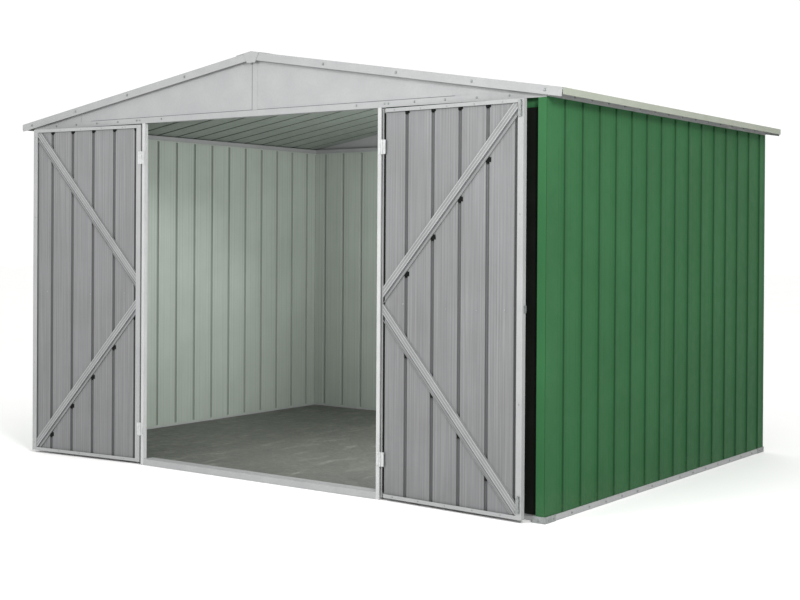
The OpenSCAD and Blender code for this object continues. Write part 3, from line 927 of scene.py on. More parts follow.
class FixingKind(Enum):
    """Heads used on the shed: radius, height, washer radius, washer height in mm, and whether domed."""

    HEX_SCREW = (4.0, 4.0, 6.8, 1.6, False)
    SMALL_SCREW = (3.2, 3.0, 5.2, 1.2, False)
    RIVET = (3.6, 1.8, 0.0, 0.0, True)


@dataclass
class Fixings:
    """All fixings of one kind on one body.

    Attributes:
        name: the piece's name.
        body: the body that they ride on.
        kind: which head they have.
        seed: what turns the heads at random.
        spots: each head's place and outward direction.
    """

    name: str
    body: str
    kind: FixingKind
    seed: int
    spots: list[tuple[Vector, Vector]] = field(default_factory=list)

    def add(self, place: Vector, out: Vector) -> None:
        """Notes one more head, at a place and facing out."""
        self.spots.append((Vector(place), Vector(out).normalized()))

    def build(self, trees: Trees, finish: bpy.types.Material) -> bpy.types.Object:
        """Builds the heads as one mesh.

        Args:
            trees: the geometry trees.
            finish: the heads' material.

        Returns:
            The piece.
        """
        mesh = bpy.data.meshes.new(self.name)
        mesh.from_pydata([tuple(p) for p, _ in self.spots], [], [])
        out = mesh.attributes.new("out", "FLOAT_VECTOR", "POINT")
        for number, (_, way) in enumerate(self.spots):
            out.data[number].vector = way
        host = link_object(self.name, mesh)
        radius, height, washer, thick, domed = self.kind.value
        trees.fixing.apply(
            host,
            {"Head Radius": radius * MM, "Head Height": height * MM, "Washer Radius": washer * MM,
             "Washer Height": thick * MM, "Domed": domed, "Seed": self.seed, "Finish": finish},
        )
        piece = settle(host)
        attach(piece, self.body)
        log.info("%s: %d heads", self.name, len(self.spots))
        return piece


@dataclass
class RibbedSheet:
    """One ribbed sheet, drawn in its own frame: X along it, Z up it, and -Y outwards.

    Attributes:
        name: the piece's name.
        stands_for: the node it replaces.
        body: the body that it rides on.
        span: where it starts and ends along X.
        bottom: where it starts along Z.
        height: its length along Z.
        first_rib: place of the lowest rib along X.
        ribs: how many ribs it has.
        place: its place in the shed.
        pitch: distance from rib to rib.
        rib_height: how far a rib stands out.
        flat_low: height of the flat part at the bottom.
        flat_high: height of the flat part at the top.
        ramp: height over which a rib fades out.
        rib_foot: width of a rib at its foot.
        rib_crest: width of its crest.
        step: distance from column to column of the grid.
    """

    name: str
    stands_for: str
    body: str
    span: tuple[float, float]
    bottom: float
    height: float
    first_rib: float
    ribs: int
    place: Matrix
    pitch: float
    rib_height: float
    flat_low: float = 0.0
    flat_high: float = 0.0
    ramp: float = 0.0
    rib_foot: float = 20 * MM
    rib_crest: float = 9 * MM
    step: float = 2 * MM

    def build(self, trees: Trees, outer: bpy.types.Material, inner: bpy.types.Material) -> bpy.types.Object:
        """Builds the sheet.

        Args:
            trees: the geometry trees.
            outer: finish of the outer face.
            inner: finish of the inner face.

        Returns:
            The piece.
        """
        host = link_object(self.name, bpy.data.meshes.new(self.name))
        low, high = self.span
        trees.sheet.apply(
            host,
            {"Width": high - low, "Middle": (low + high) / 2, "Bottom": self.bottom, "Height": self.height,
             "Flat Low": self.flat_low, "Flat High": self.flat_high, "Ramp": self.ramp,
             "First Rib": self.first_rib, "Ribs": self.ribs, "Pitch": self.pitch, "Rib Foot": self.rib_foot,
             "Rib Crest": self.rib_crest, "Rib Height": self.rib_height, "Thickness": SKIN,
             "Step": self.step, "Outer Finish": outer, "Inner Finish": inner},
        )
        piece = settle(host, self.place)
        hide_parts(self.stands_for)
        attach(piece, self.body)
        log.info("%s: %d faces", self.name, len(piece.data.polygons))
        return piece


@dataclass
class Strips:
    """Thin flat bars in one mesh, for laps, hems and folds.

    Attributes:
        name: the piece's name.
        body: the body that it rides on.
        slot: the record's slot that it stands for; it is not used.
    """

    name: str
    body: str
    slot: str
    mesh: bmesh.types.BMesh = field(default_factory=bmesh.new)

    def bar(self, low: Point, high: Point, place: Matrix | None = None) -> None:
        """Adds one bar.

        Args:
            low: its lowest corner.
            high: its highest corner.
            place: its place, where it isn't square to the shed.
        """
        middle = [(a + b) / 2 for a, b in zip(low, high)]
        size = [b - a for a, b in zip(low, high)]
        matrix = Matrix.Translation(middle) @ Matrix.Diagonal((*size, 1.0))
        if place is not None:
            matrix = place @ matrix
        bmesh.ops.create_cube(self.mesh, size=1.0, matrix=matrix)

    def build(self, finish: bpy.types.Material) -> bpy.types.Object:
        """Builds the bars as one mesh.

        Args:
            finish: the bars' material.

        Returns:
            The piece.
        """
        bmesh.ops.recalc_face_normals(self.mesh, faces=self.mesh.faces)
        mesh = bpy.data.meshes.new(self.name)
        self.mesh.to_mesh(mesh)
        self.mesh.free()
        mesh.materials.append(finish)
        piece = link_object(self.name, mesh)
        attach(piece, self.body)
        log.info("%s: %d faces", self.name, len(mesh.polygons))
        return piece


# --- sub-assemblies ----------------------------------------------------------------------


def ribs_in(length: float, clear: float) -> int:
    """Counts the ribs on a run of sheets.

    Args:
        length: length of the run.
        clear: least distance of the last rib from the far end.

    Returns:
        How many ribs it has.
    """
    return int((length - clear - FIRST_RIB) / RIB_PITCH) + 1


def wall_face(turn: float, plane: float) -> Matrix:
    """Gives the frame of a wall's outer face.

    Args:
        turn: turn about Z that takes the front of the shed to the wall.
        plane: distance of the face from the middle of the shed.

    Returns:
        The frame, with X along the wall and -Y outwards.
    """
    return Matrix.Rotation(turn, 4, "Z") @ Matrix.Translation((0, -plane, 0))


@dataclass
class WallSet:
    """The ribbed walls, with their rails, corner posts, laps and rear corner folds.

    Attributes:
        rib_h: height of a rib.
        rail_h: flat height of a sheet behind a rail.
        header_flat: flat height at the head of a front panel, behind the header.
        fade: height over which a rib fades out.
        side_clear: least distance of the last rib from the end of a side wall.
        rear_clear: the same on the rear wall.
        panel_clear: the same on a front panel.
        lap_end: distance of a lap's ends from the wall's foot and head.
        lap_from: distance of a lap's near edge from the rib that it follows.
        outer_lap_to: distance of its far edge from that rib, outside.
        inner_lap_to: the same, inside.
        outer_lap_t: how far a lap stands out, outside.
        inner_lap_t: the same, inside.
        last_lap: least distance of a lap from the wall's end.
        fold_w: width of a corner fold on each wall.
        fold_t: how far it stands out.
        fold_bite: how far it reaches into the walls.
        fold_past: how far it passes the laps at head and foot.
    """

    rib_h: float = 0.008
    rail_h: float = 0.025
    header_flat: float = 0.033
    fade: float = 0.006
    side_clear: float = 0.040
    rear_clear: float = 0.042
    panel_clear: float = 0.020
    lap_end: float = 0.029
    lap_from: float = 0.0115
    outer_lap_to: float = 0.026
    inner_lap_to: float = 0.042
    outer_lap_t: float = 0.0012
    inner_lap_t: float = 0.0009
    last_lap: float = 0.2
    fold_w: float = 0.024
    fold_t: float = 0.0009
    fold_bite: float = 0.0003
    fold_past: float = 0.003

    def standing(
        self, name: str, face: Matrix, span: tuple[float, float], first_rib: float, ribs: int,
        flat_high: float,
    ) -> RibbedSheet:
        """Describes one standing sheet in place of its node.

        Args:
            name: the node's name.
            face: frame of its outer face.
            span: its start and end along its own X.
            first_rib: place of its lowest rib along X.
            ribs: how many ribs it has.
            flat_high: height of the flat part at its top.

        Returns:
            The sheet.
        """
        low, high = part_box(name)
        return RibbedSheet(
            name="skin_" + name, stands_for=name, body=SHED, span=span, bottom=low.z, height=high.z - low.z,
            first_rib=first_rib, ribs=ribs, place=face, pitch=RIB_PITCH, rib_height=self.rib_h,
            flat_low=self.rail_h, flat_high=flat_high, ramp=self.fade,
        )

    def build(self, trees: Trees, finishes: Finishes) -> None:
        """Builds the walls and dresses their rails.

        Args:
            trees: the geometry trees.
            finishes: the finishes.
        """
        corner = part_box("right_wall")[1]
        half_w, half_d = corner.x - self.rib_h, corner.y
        faces = {
            "right_wall": wall_face(math.pi / 2, half_w),
            "left_wall": wall_face(-math.pi / 2, half_w),
            "rear_wall": wall_face(math.pi, half_d),
        }
        side, count = (-half_d, half_d), ribs_in(2 * half_d, self.side_clear)
        first = -half_d + FIRST_RIB
        last = first + (count - 1) * RIB_PITCH
        rear_low, rear_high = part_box("rear_wall")
        rear_span = (rear_low.x, rear_high.x)
        rear_ribs = ribs_in(2 * half_w, self.rear_clear)
        low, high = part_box("front_right_panel")
        front = wall_face(0.0, -(low.y + self.rib_h))
        ribs = ribs_in(half_w - low.x, self.panel_clear)
        edge = half_w - FIRST_RIB
        inmost = edge - (ribs - 1) * RIB_PITCH
        for sheet in (
            self.standing("right_wall", faces["right_wall"], side, first, count, self.rail_h),
            self.standing("left_wall", faces["left_wall"], side, -last, count, self.rail_h),
            self.standing(
                "rear_wall", faces["rear_wall"], rear_span, -half_w + FIRST_RIB, rear_ribs, self.rail_h
            ),
            self.standing("front_right_panel", front, (low.x, high.x), inmost, ribs, self.header_flat),
            self.standing("front_left_panel", front, (-high.x, -low.x), -edge, ribs, self.header_flat),
        ):
            sheet.build(trees, finishes.green, finishes.wall_back)
        dress_all(("corner_post_left", "corner_post_right"), finishes.green)
        dress_all(
            ("base_rail_left", "base_rail_right", "base_rail_rear", "base_rails_front", "top_rail_left",
             "top_rail_right", "top_rail_rear"),
            finishes.zinc,
        )
        self.laps(faces, half_w, half_d, finishes)

    def laps(self, faces: dict[str, Matrix], half_w: float, half_d: float, finishes: Finishes) -> None:
        """Adds the edges where one sheet laps over the next, and the folds that close the rear corners.

        Args:
            faces: frames of the side and rear walls' outer faces.
            half_w: half the width over the sheets.
            half_d: half the depth over the sheets.
            finishes: the finishes.
        """
        outer = Strips("sheet_laps_outside", SHED, "green_coated_steel")
        inner = Strips("sheet_laps_inside", SHED, "green_coated_steel")
        low, high = self.lap_end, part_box("right_wall")[1].z - self.lap_end
        back = SKIN + self.inner_lap_t
        for name, place in faces.items():
            reach = half_w if name == "rear_wall" else half_d
            way = -1 if name == "left_wall" else 1
            x = -reach + FIRST_RIB + (PANS - 1) * RIB_PITCH
            while x < reach - self.last_lap:
                near = way * x + self.lap_from
                outer.bar((near, -self.outer_lap_t, low), (way * x + self.outer_lap_to, BITE, high), place)
                inner.bar((near, SKIN - BITE, low), (way * x + self.inner_lap_to, back, high), place)
                x += PANS * RIB_PITCH
        far_x, far_y = half_w + self.fold_t, half_d + self.fold_t
        for side in (1, -1):
            for near_x, near_y in (
                (half_w - self.fold_bite, half_d - self.fold_w),
                (half_w - self.fold_w, half_d - self.fold_bite),
            ):
                left, right = sorted((side * near_x, side * far_x))
                outer.bar((left, near_y, low - self.fold_past), (right, far_y, high + self.fold_past))
        outer.build(finishes.green)
        inner.build(finishes.wall_back)


@dataclass
class Frontage:
    """The doorway and the gables: header, jambs, sill, black strips of painted shade beside the front
    corners, gable sheets, and painted shade lines beside the gable lap and over the header.

    Attributes:
        lap: start and end of the gable's centre lap along X.
        lap_t: how far the lap stands out.
        foot_gap: distance of lap and seam from the gable's foot.
        lap_head_gap: distance of the lap from the gable's peak.
        seam_shade: start and end of the painted shade line beside the lap.
        seam_shade_t: how far that line stands out.
        seam_shade_head_gap: distance of that line from the gable's peak.
        header_shade_reach: half the length of the painted shade line over the header.
        line: its lower and upper edge, from the header's top.
    """

    lap: tuple[float, float] = (-0.010, 0.022)
    lap_t: float = 0.0010
    foot_gap: float = 0.001
    lap_head_gap: float = 0.012
    seam_shade: tuple[float, float] = (-0.0135, -0.0098)
    seam_shade_t: float = 0.0007
    seam_shade_head_gap: float = 0.014
    header_shade_reach: float = 1.12
    line: tuple[float, float] = (-0.0005, 0.0026)

    def build(self, finishes: Finishes) -> None:
        """Dresses the frontage, and adds the gable's centre lap, with the painted shade lines beside it
        and over the header.

        Args:
            finishes: the finishes.
        """
        dress_all(
            ("header_rail", "door_sill", "front_gable_left", "front_gable_right", "front_gable_ends",
             "rear_gable"),
            finishes.zinc,
        )
        dress_all(("left_jamb", "right_jamb"), finishes.jamb_zinc)
        dress("jamb_hinge_leaves", finishes.bright_fitting)
        # The black strips stand in for the deep shade in the recesses beside the front corners, behind the
        # folded doors: painted shade.
        dress("door_buffers", finishes.black_shade)
        low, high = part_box("front_gable_right")
        foot = low.z + self.foot_gap
        laps = Strips("gable_laps", SHED, "galvanised_steel")
        laps.bar((self.lap[0], low.y - self.lap_t, foot), (self.lap[1], low.y, high.z - self.lap_head_gap))
        laps.build(finishes.zinc)
        # Painted shade: a grey line beside the lap, and one along the top of the header.
        seam_shade = Strips("gable_seam_shade", SHED, "dull_zinc_steel")
        front, back = low.y - self.seam_shade_t, low.y + BITE
        seam_shade.bar((self.seam_shade[0], front, foot), (self.seam_shade[1], back, high.z - self.seam_shade_head_gap))
        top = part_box("header_rail")[1].z
        seam_shade.bar((-self.header_shade_reach, front, top + self.line[0]), (self.header_shade_reach, back, top + self.line[1]))
        seam_shade.build(finishes.grey_shade)


@dataclass
class Base:
    """The floor board and the brackets at the corners."""

    def build(self, finishes: Finishes) -> None:
        """Dresses the base.

        Args:
            finishes: the finishes.
        """
        dress("floor_board", finishes.board)
        dress("corner_brackets", finishes.fitting)


@dataclass
class RoofSet:
    """The two roof slopes with their cap and trims.

    Attributes:
        slope: slope of the roof, in radians.
        sheet_t: thickness of the sheet's node, whose outer face the drawn sheet keeps.
        rib_h: height of a roof rib.
        rear_clear: least distance of the last rib from the rear end of a slope.
    """

    slope: float = math.radians(9.2)
    sheet_t: float = 0.002
    rib_h: float = 0.012
    rear_clear: float = 0.04

    def depth(self) -> float:
        """Gives the distance from a sheet's underside to the crest of its ribs."""
        return self.sheet_t + self.rib_h

    def eave_x(self) -> float:
        """Gives the X of a slope's underside at its lower end."""
        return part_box("roof_right")[1].x - self.depth() * math.sin(self.slope)

    def ribs(self) -> int:
        """Counts the ribs of a slope."""
        low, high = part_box("roof_right")
        return ribs_in(high.y - low.y, self.rear_clear)

    def build(self, trees: Trees, finishes: Finishes) -> None:
        """Builds the slopes and dresses the trims.

        Args:
            trees: the geometry trees.
            finishes: the finishes.
        """
        low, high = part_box("roof_right")
        sin, cos = math.sin(self.slope), math.cos(self.slope)
        eave_x = self.eave_x()
        first = low.y + FIRST_RIB
        last = first + (self.ribs() - 1) * RIB_PITCH
        for side, name in ((1, "roof_right"), (-1, "roof_left")):
            place = Matrix((
                (0, -side * sin, -side * cos, side * eave_x),
                (side, 0, 0, 0),
                (0, -cos, sin, low.z),
                (0, 0, 0, 1),
            ))
            RibbedSheet(
                name="skin_" + name, stands_for=name, body=SHED,
                span=(low.y, high.y) if side > 0 else (-high.y, -low.y), bottom=0.0,
                height=(eave_x - low.x) / cos, first_rib=first if side > 0 else -last, ribs=self.ribs(),
                place=place @ Matrix.Translation((0, -self.sheet_t, 0)), pitch=RIB_PITCH,
                rib_height=self.rib_h,
            ).build(trees, finishes.green, finishes.roof_back)
        dress_all(("ridge_cap", "barge_front_left", "barge_front_right", "barges_rear"), finishes.zinc)
        dress_all(("eave_trim_left", "eave_trim_right"), finishes.eave_zinc)


@dataclass(frozen=True)
class ShadePatch:
    """A dark block of painted shade at a door's rib, measured from the rib, the pan's inner face and a level.

    Attributes:
        left: its reach towards -X.
        right: its reach towards +X.
        out: its reach outwards, into the rib.
        back: its reach inwards.
        down: its reach below the level.
        up: its reach above the level.
    """

    left: float
    right: float
    out: float
    back: float
    down: float
    up: float


@dataclass(frozen=True)
class Bead:
    """A line that runs along a brace.

    Attributes:
        offset: distance of its middle from the lower edge of the brace's hat.
        width: its width.
        low: where its section starts, from the face that carries it.
        high: where its section ends.
    """

    offset: float
    width: float
    low: float
    high: float


@dataclass
class Door:
    """One door, hung on its pin and drawn shut before it is opened.

    Attributes:
        side: 1 for the right door, -1 for the left one.
        body: its body.
        joint: its hinge.
        ribs_from: distance of the lowest rib from the hinge edge.
        width: its width.
        depth: its thickness over the frame.
        pin_gap: distance of the pin from the hinge edge.
        inner: Y of its inner face, from the pin.
        pan: depth of the pans behind the inner face.
        ribs: how many ribs it has.
        pitch: distance from rib to rib.
        rib_h: height of a rib.
        frame_t: thickness of the frame's sheet.
        seat: clearance between seated pieces.
        brace_w: width of a brace.
        brace_start: how far from mid-height a brace starts, as a share of its width.
        hat_in: distance of a brace's hat from the brace's lower edge.
        hat_sink: how far the hat's top lies below the frame.
        edge_beads: the rolled edges of the hat.
        root_shade_line: the painted shade line at the foot of the hat.
        bead_far: distance of the beads' ends from the free edge.
        bead_near: distance of the beads' ends from the hinge edge.
        bead_head: distance of the beads' ends from head and foot.
        bead_middle: distance of the beads' ends from mid-height.
        head_shade_patches: painted shade in a rib under the head channel, and its painted shadow on the pan.
        brace_shade_patch: painted shade in a rib under a brace.
        brace_shade_lip: its painted shadow on the pan.
        patch_foot: least height of a block of painted shade above the door's foot.
        patch_head: least distance of such a block below the door's head.
        patch_near: least distance of such a block from the hinge edge.
        patch_far: least distance of such a block from the free edge.
        hinge_shade_w: width of the strip of painted shade down the right door's hinge edge.
        hinge_shade_end: distance of its ends from head and foot.
        hinge_shade_gap: its clearance from the frame.
        rivet_from_rib: distance of a pan's rivet from its rib.
        rivet_clear: least distance of a pan's rivet from the door's edges.
        rivet_rail: distance of a rail's rivets from head and foot.
        brace_rivets: the rivets through the braces, from the hinge edge and from mid-height.
        stile_in: distance of the stile's rivets from the free edge.
        stile_end: distance of its outer rivets from head and foot.
        stile_reach: distance of its inner rivets from mid-height.
    """

    side: int
    body: str
    joint: str
    ribs_from: float
    width: float = 0.734
    depth: float = 0.022
    pin_gap: float = 0.005
    inner: float = -0.0025
    pan: float = 0.011
    ribs: int = 5
    pitch: float = 0.142
    rib_h: float = 0.008
    frame_t: float = 0.002
    seat: float = 0.0003
    brace_w: float = 0.052
    brace_start: float = 0.62
    hat_in: float = 0.003
    hat_sink: float = 0.0046
    edge_beads: tuple[Bead, ...] = (
        Bead(0.0028, 0.0042, -0.0004, 0.0010), Bead(0.0155, 0.0036, -0.0004, 0.0007),
        Bead(0.0282, 0.0042, -0.0004, 0.0010),
    )
    root_shade_line: Bead = Bead(0.0345, 0.0050, 0.0018, 0.0026)
    bead_far: float = 0.0285
    bead_near: float = 0.003
    bead_head: float = 0.019
    bead_middle: float = 0.003
    head_shade_patches: tuple[ShadePatch, ...] = (
        ShadePatch(0.006, 0.006, 0.003, BITE, 0.029, -0.012), ShadePatch(0.015, 0.007, BITE, 0.003, 0.026, -0.012),
    )
    brace_shade_patch: ShadePatch = ShadePatch(0.006, 0.006, 0.003, BITE, 0.020, 0.012)
    brace_shade_lip: ShadePatch = ShadePatch(0.018, 0.008, BITE, 0.002, 0.014, 0.006)
    patch_foot: float = 0.03
    patch_head: float = 0.05
    patch_near: float = 0.02
    patch_far: float = 0.05
    hinge_shade_w: float = 0.008
    hinge_shade_end: float = 0.020
    hinge_shade_gap: float = 0.0004
    rivet_from_rib: float = 0.062
    rivet_clear: float = 0.03
    rivet_rail: float = 0.009
    brace_rivets: tuple[tuple[float, float], ...] = (
        (0.11, 0.0), (0.34, -0.012), (0.50, -0.012), (0.64, -0.006),
    )
    stile_in: float = 0.014
    stile_end: float = 0.04
    stile_reach: float = 0.38

    def hung(self) -> Matrix:
        """Gives the place of the door's own frame, turned open about its pin."""
        hinge = next(j for j in frame["joints"] if j["name"] == self.joint)
        pin = Vector(hinge["pos_m"])
        angle = math.radians(max(abs(a) for a in hinge["range_deg"])) * self.side
        return Matrix.Translation((pin.x, pin.y, 0)) @ Matrix.Rotation(angle, 4, "Z")

    def along(self, distance: float) -> float:
        """Gives the X in the door's frame at a distance from the hinge edge."""
        return -self.side * (self.pin_gap + distance)

    def pan_face(self) -> float:
        """Gives the Y of the pans' inner face in the door's frame."""
        return self.inner - self.pan + self.frame_t

    def brace_rise(self, low: float, high: float) -> float:
        """Gives how far a brace rises over the door's width, from the heights of foot and head."""
        return (high - low) / 2 - self.brace_w / 2

    def build(self, trees: Trees, finishes: Finishes, rivets: Fixings) -> None:
        """Builds the door's sheet, its blocks of painted shade and its beads, and dresses its frame.

        Args:
            trees: the geometry trees.
            finishes: the finishes.
            rivets: where the door's rivets are noted.
        """
        low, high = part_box(self.body + "_frame")
        inset = self.frame_t + self.seat
        ends = sorted((self.along(inset), self.along(self.width - inset)))
        place = self.hung()
        lowest = min(self.along(self.ribs_from), self.along(self.ribs_from + (self.ribs - 1) * self.pitch))
        RibbedSheet(
            name="skin_" + self.body, stands_for=self.body + "_sheet", body=self.body,
            span=(ends[0], ends[1]), bottom=low.z + inset, height=high.z - low.z - 2 * inset,
            first_rib=lowest, ribs=self.ribs,
            place=place @ Matrix.Translation((0, self.pan_face() - SKIN, 0)), pitch=self.pitch,
            rib_height=self.rib_h,
        ).build(trees, finishes.green, finishes.door_back)
        self.add_rib_shade(place, low.z, high.z, lowest, finishes)
        dress(self.body + "_frame", finishes.zinc)
        dress(self.body + "_braces", finishes.brace_zinc)
        dress(self.body + "_hinges", finishes.bright_fitting)
        self.beads(place, low.z, high.z, finishes)
        self.rivet(place, low.z, high.z, rivets)

    def shade_patch(self, shade_patches: Strips, shape: ShadePatch, x: float, level: float, place: Matrix) -> None:
        """Adds one block of painted shade.

        Args:
            shade_patches: the bars that it joins.
            shape: its reach each way.
            x: place of its rib along the door.
            level: the height that it is measured from.
            place: the door's place.
        """
        face = self.pan_face()
        shade_patches.bar(
            (x - shape.left, face - shape.out, level - shape.down),
            (x + shape.right, face + shape.back, level + shape.up),
            place,
        )

    def add_rib_shade(self, place: Matrix, low: float, high: float, lowest: float, finishes: Finishes) -> None:
        """Adds the blocks of painted shade in the ribs' hollows under the head channel and the braces,
        and the strip of painted shade down the right door's hinge edge.

        Args:
            place: the door's place.
            low: height of the door's foot.
            high: height of the door's head.
            lowest: place of the lowest rib along the door.
            finishes: the finishes.
        """
        # Black painted shade where the ribs' hollows pass under the head channel and the braces, with painted
        # shadows on the pan.
        shade_patches = Strips(self.body + "_rib_shade_patches", self.body, "black_rubber")
        slant = self.brace_rise(low, high) / self.width
        drop = self.brace_w / 2 * math.hypot(1.0, slant)
        middle = (low + high) / 2
        for step in range(self.ribs):
            x = lowest + step * self.pitch
            reach = abs(x) - self.pin_gap
            for shape in self.head_shade_patches:
                self.shade_patch(shade_patches, shape, x, high, place)
            beside = self.patch_near < reach < self.width - self.patch_far
            for up in (1, -1):
                edge = middle + up * (self.brace_w * self.brace_start + slant * reach) - drop
                crossed = beside and low + self.patch_foot < edge < high - self.patch_head
                if crossed and (up < 0 or self.side > 0):
                    self.shade_patch(shade_patches, self.brace_shade_patch, x, edge, place)
                    if up == self.side:
                        self.shade_patch(shade_patches, self.brace_shade_lip, x, edge, place)
        # Painted shade down the right door's hinge edge, between the pan and the frame.
        if self.side > 0:
            hinge_shade = ShadePatch(self.hinge_shade_w, 0.0, BITE, 0.003, high - low - 2 * self.hinge_shade_end, 0.0)
            self.shade_patch(shade_patches, hinge_shade, self.along(self.frame_t + self.hinge_shade_gap), high - self.hinge_shade_end, place)
        shade_patches.build(finishes.black_shade)

    def beads(self, place: Matrix, low: float, high: float, finishes: Finishes) -> None:
        """Adds the rolled edges that stiffen the braces, and the painted shade line at the foot of their
        hats.

        Args:
            place: the door's place.
            low: height of the door's foot.
            high: height of the door's head.
            finishes: the finishes.
        """
        edges = Strips(self.body + "_brace_beads", self.body, "galvanised_steel")
        # Grey painted shade line at the foot of each brace's hat.
        root_shades = Strips(self.body + "_brace_root_shades", self.body, "dull_zinc_steel")
        base = self.pan_face() + self.seat
        top = base + self.pan - self.hat_sink
        for up in (1, -1):
            for bead in self.edge_beads:
                self.bead(edges, bead, top, up, (low, high), place)
            self.bead(root_shades, self.root_shade_line, base, up, (low, high), place)
        edges.build(finishes.zinc)
        root_shades.build(finishes.grey_shade)

    def bead(
        self, strips: Strips, bead: Bead, face: float, up: int, ends: tuple[float, float], place: Matrix
    ) -> None:
        """Adds one line along a brace, from frame to frame.

        Args:
            strips: the bars that it joins.
            bead: its offset and section.
            face: Y of the face that carries it.
            up: 1 on the upper brace, -1 on the lower one.
            ends: heights of the door's foot and head.
            place: the door's place.
        """
        low, high = ends
        middle = (low + high) / 2
        angle = math.atan2(up * self.brace_rise(low, high), -self.width)
        along = Vector((math.cos(angle), 0, math.sin(angle)))
        across = Vector((-math.sin(angle), 0, math.cos(angle)))
        start = Vector((-self.pin_gap, 0, middle + up * self.brace_w * self.brace_start))
        foot = start + across * (-self.brace_w / 2 + self.hat_in + bead.offset)
        far, near = self.width + self.pin_gap - self.bead_far, self.pin_gap + self.bead_near
        span = (middle + self.bead_middle, high - self.bead_head)
        if up < 0:
            span = (low + self.bead_head, middle - self.bead_middle)
        by_x = [(x - foot.x) / along.x for x in (-far, -near)]
        by_z = [(z - foot.z) / along.z for z in span]
        first, last = max(min(by_x), min(by_z)), min(max(by_x), max(by_z))
        centre = foot + along * (first + last) / 2
        centre.x *= self.side
        centre.y = face + (bead.low + bead.high) / 2
        turn = Matrix.Rotation(-self.side * angle, 4, "Y")
        x, y, z = (last - first) / 2, (bead.high - bead.low) / 2, bead.width / 2
        strips.bar((-x, -y, -z), (x, y, z), place @ Matrix.Translation(centre) @ turn)

    def rivet(self, place: Matrix, low: float, high: float, rivets: Fixings) -> None:
        """Notes the rivets through the pans, the channels and the braces.

        Args:
            place: the door's place.
            low: height of the door's foot.
            high: height of the door's head.
            rivets: where they are noted.
        """
        turn = place.to_3x3()
        inwards = turn @ Vector((0, 1, 0))
        outwards = turn @ Vector((0, -1, 0))
        for step in range(self.ribs):
            rib = self.ribs_from + step * self.pitch
            pans = (rib - self.rivet_from_rib, rib + self.rivet_from_rib)
            inside = [reach for reach in pans if self.rivet_clear < reach < self.width - self.rivet_clear]
            for z in (low + self.rivet_rail, high - self.rivet_rail):
                for reach in inside[:1]:
                    rivets.add(place @ Vector((self.along(reach), self.inner, z)), inwards)
                    rivets.add(place @ Vector((self.along(reach), self.inner - self.depth, z)), outwards)
        middle = (low + high) / 2
        for reach, rise in self.brace_rivets:
            rivets.add(place @ Vector((self.along(reach), self.pan_face(), middle + rise)), inwards)
        stile = self.along(self.width - self.stile_in)
        for z in (
            low + self.stile_end, middle - self.stile_reach, middle + self.stile_reach, high - self.stile_end,
        ):
            rivets.add(place @ Vector((stile, self.inner, z)), inwards)


@dataclass
class Ironmongery:
    """Bolts, the pad bolt and its keeper, with the knobs that a hand takes hold of.

    Attributes:
        knob_r: radius of a bolt's knob.
        knob_flat: its height, as a share of its width.
        knob_in: how far its middle lies in from the stem's seat.
        stem_foot_r: radius of its stem at the foot.
        stem_head_r: radius of its stem at the knob.
        stem_l: length of its stem.
        stem_in: how far the stem's middle lies in from its seat.
        seat_out: distance of the seat from the door's inner face.
        from_end: distance of a knob from the outer end of its bolt.
        sides: facets round the knob and the stem.
        rings: facets over the knob.
    """

    knob_r: float = 0.0055
    knob_flat: float = 0.6
    knob_in: float = 0.0035
    stem_foot_r: float = 0.0032
    stem_head_r: float = 0.0026
    stem_l: float = 0.006
    stem_in: float = 0.001
    seat_out: float = 0.0095
    from_end: float = 0.039
    sides: int = 16
    rings: int = 10

    def build(self, right: Door, finishes: Finishes) -> None:
        """Dresses the fittings and adds the bolts' knobs.

        Args:
            right: the door with the bolts.
            finishes: the finishes.
        """
        dress_all(("left_door_latch", "right_door_bolts", "right_door_keeper"), finishes.fitting)
        low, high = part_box("right_door_bolts")
        made = bmesh.new()
        x = right.along(right.width - right.stile_in)
        inwards = Matrix.Rotation(math.radians(-90), 4, "X")
        squash = Matrix.Diagonal((1, 1, self.knob_flat, 1))
        for z in (low.z + self.from_end, high.z - self.from_end):
            seat = right.hung() @ Matrix.Translation((x, right.inner + self.seat_out, z)) @ inwards
            bmesh.ops.create_cone(
                made, cap_ends=True, segments=self.sides, radius1=self.stem_foot_r, radius2=self.stem_head_r,
                depth=self.stem_l, matrix=seat @ Matrix.Translation((0, 0, -self.stem_in)),
            )
            bmesh.ops.create_uvsphere(
                made, u_segments=self.sides, v_segments=self.rings, radius=self.knob_r,
                matrix=seat @ Matrix.Translation((0, 0, -self.knob_in)) @ squash,
            )
        mesh = bpy.data.meshes.new("bolt_knobs")
        bmesh.ops.recalc_face_normals(made, faces=made.faces)
        made.to_mesh(mesh)
        made.free()
        mesh.materials.append(finishes.fitting)
        knobs = link_object("bolt_knobs", mesh)
        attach(knobs, RIGHT_DOOR)
        log.info("bolt_knobs: %d faces", len(mesh.polygons))


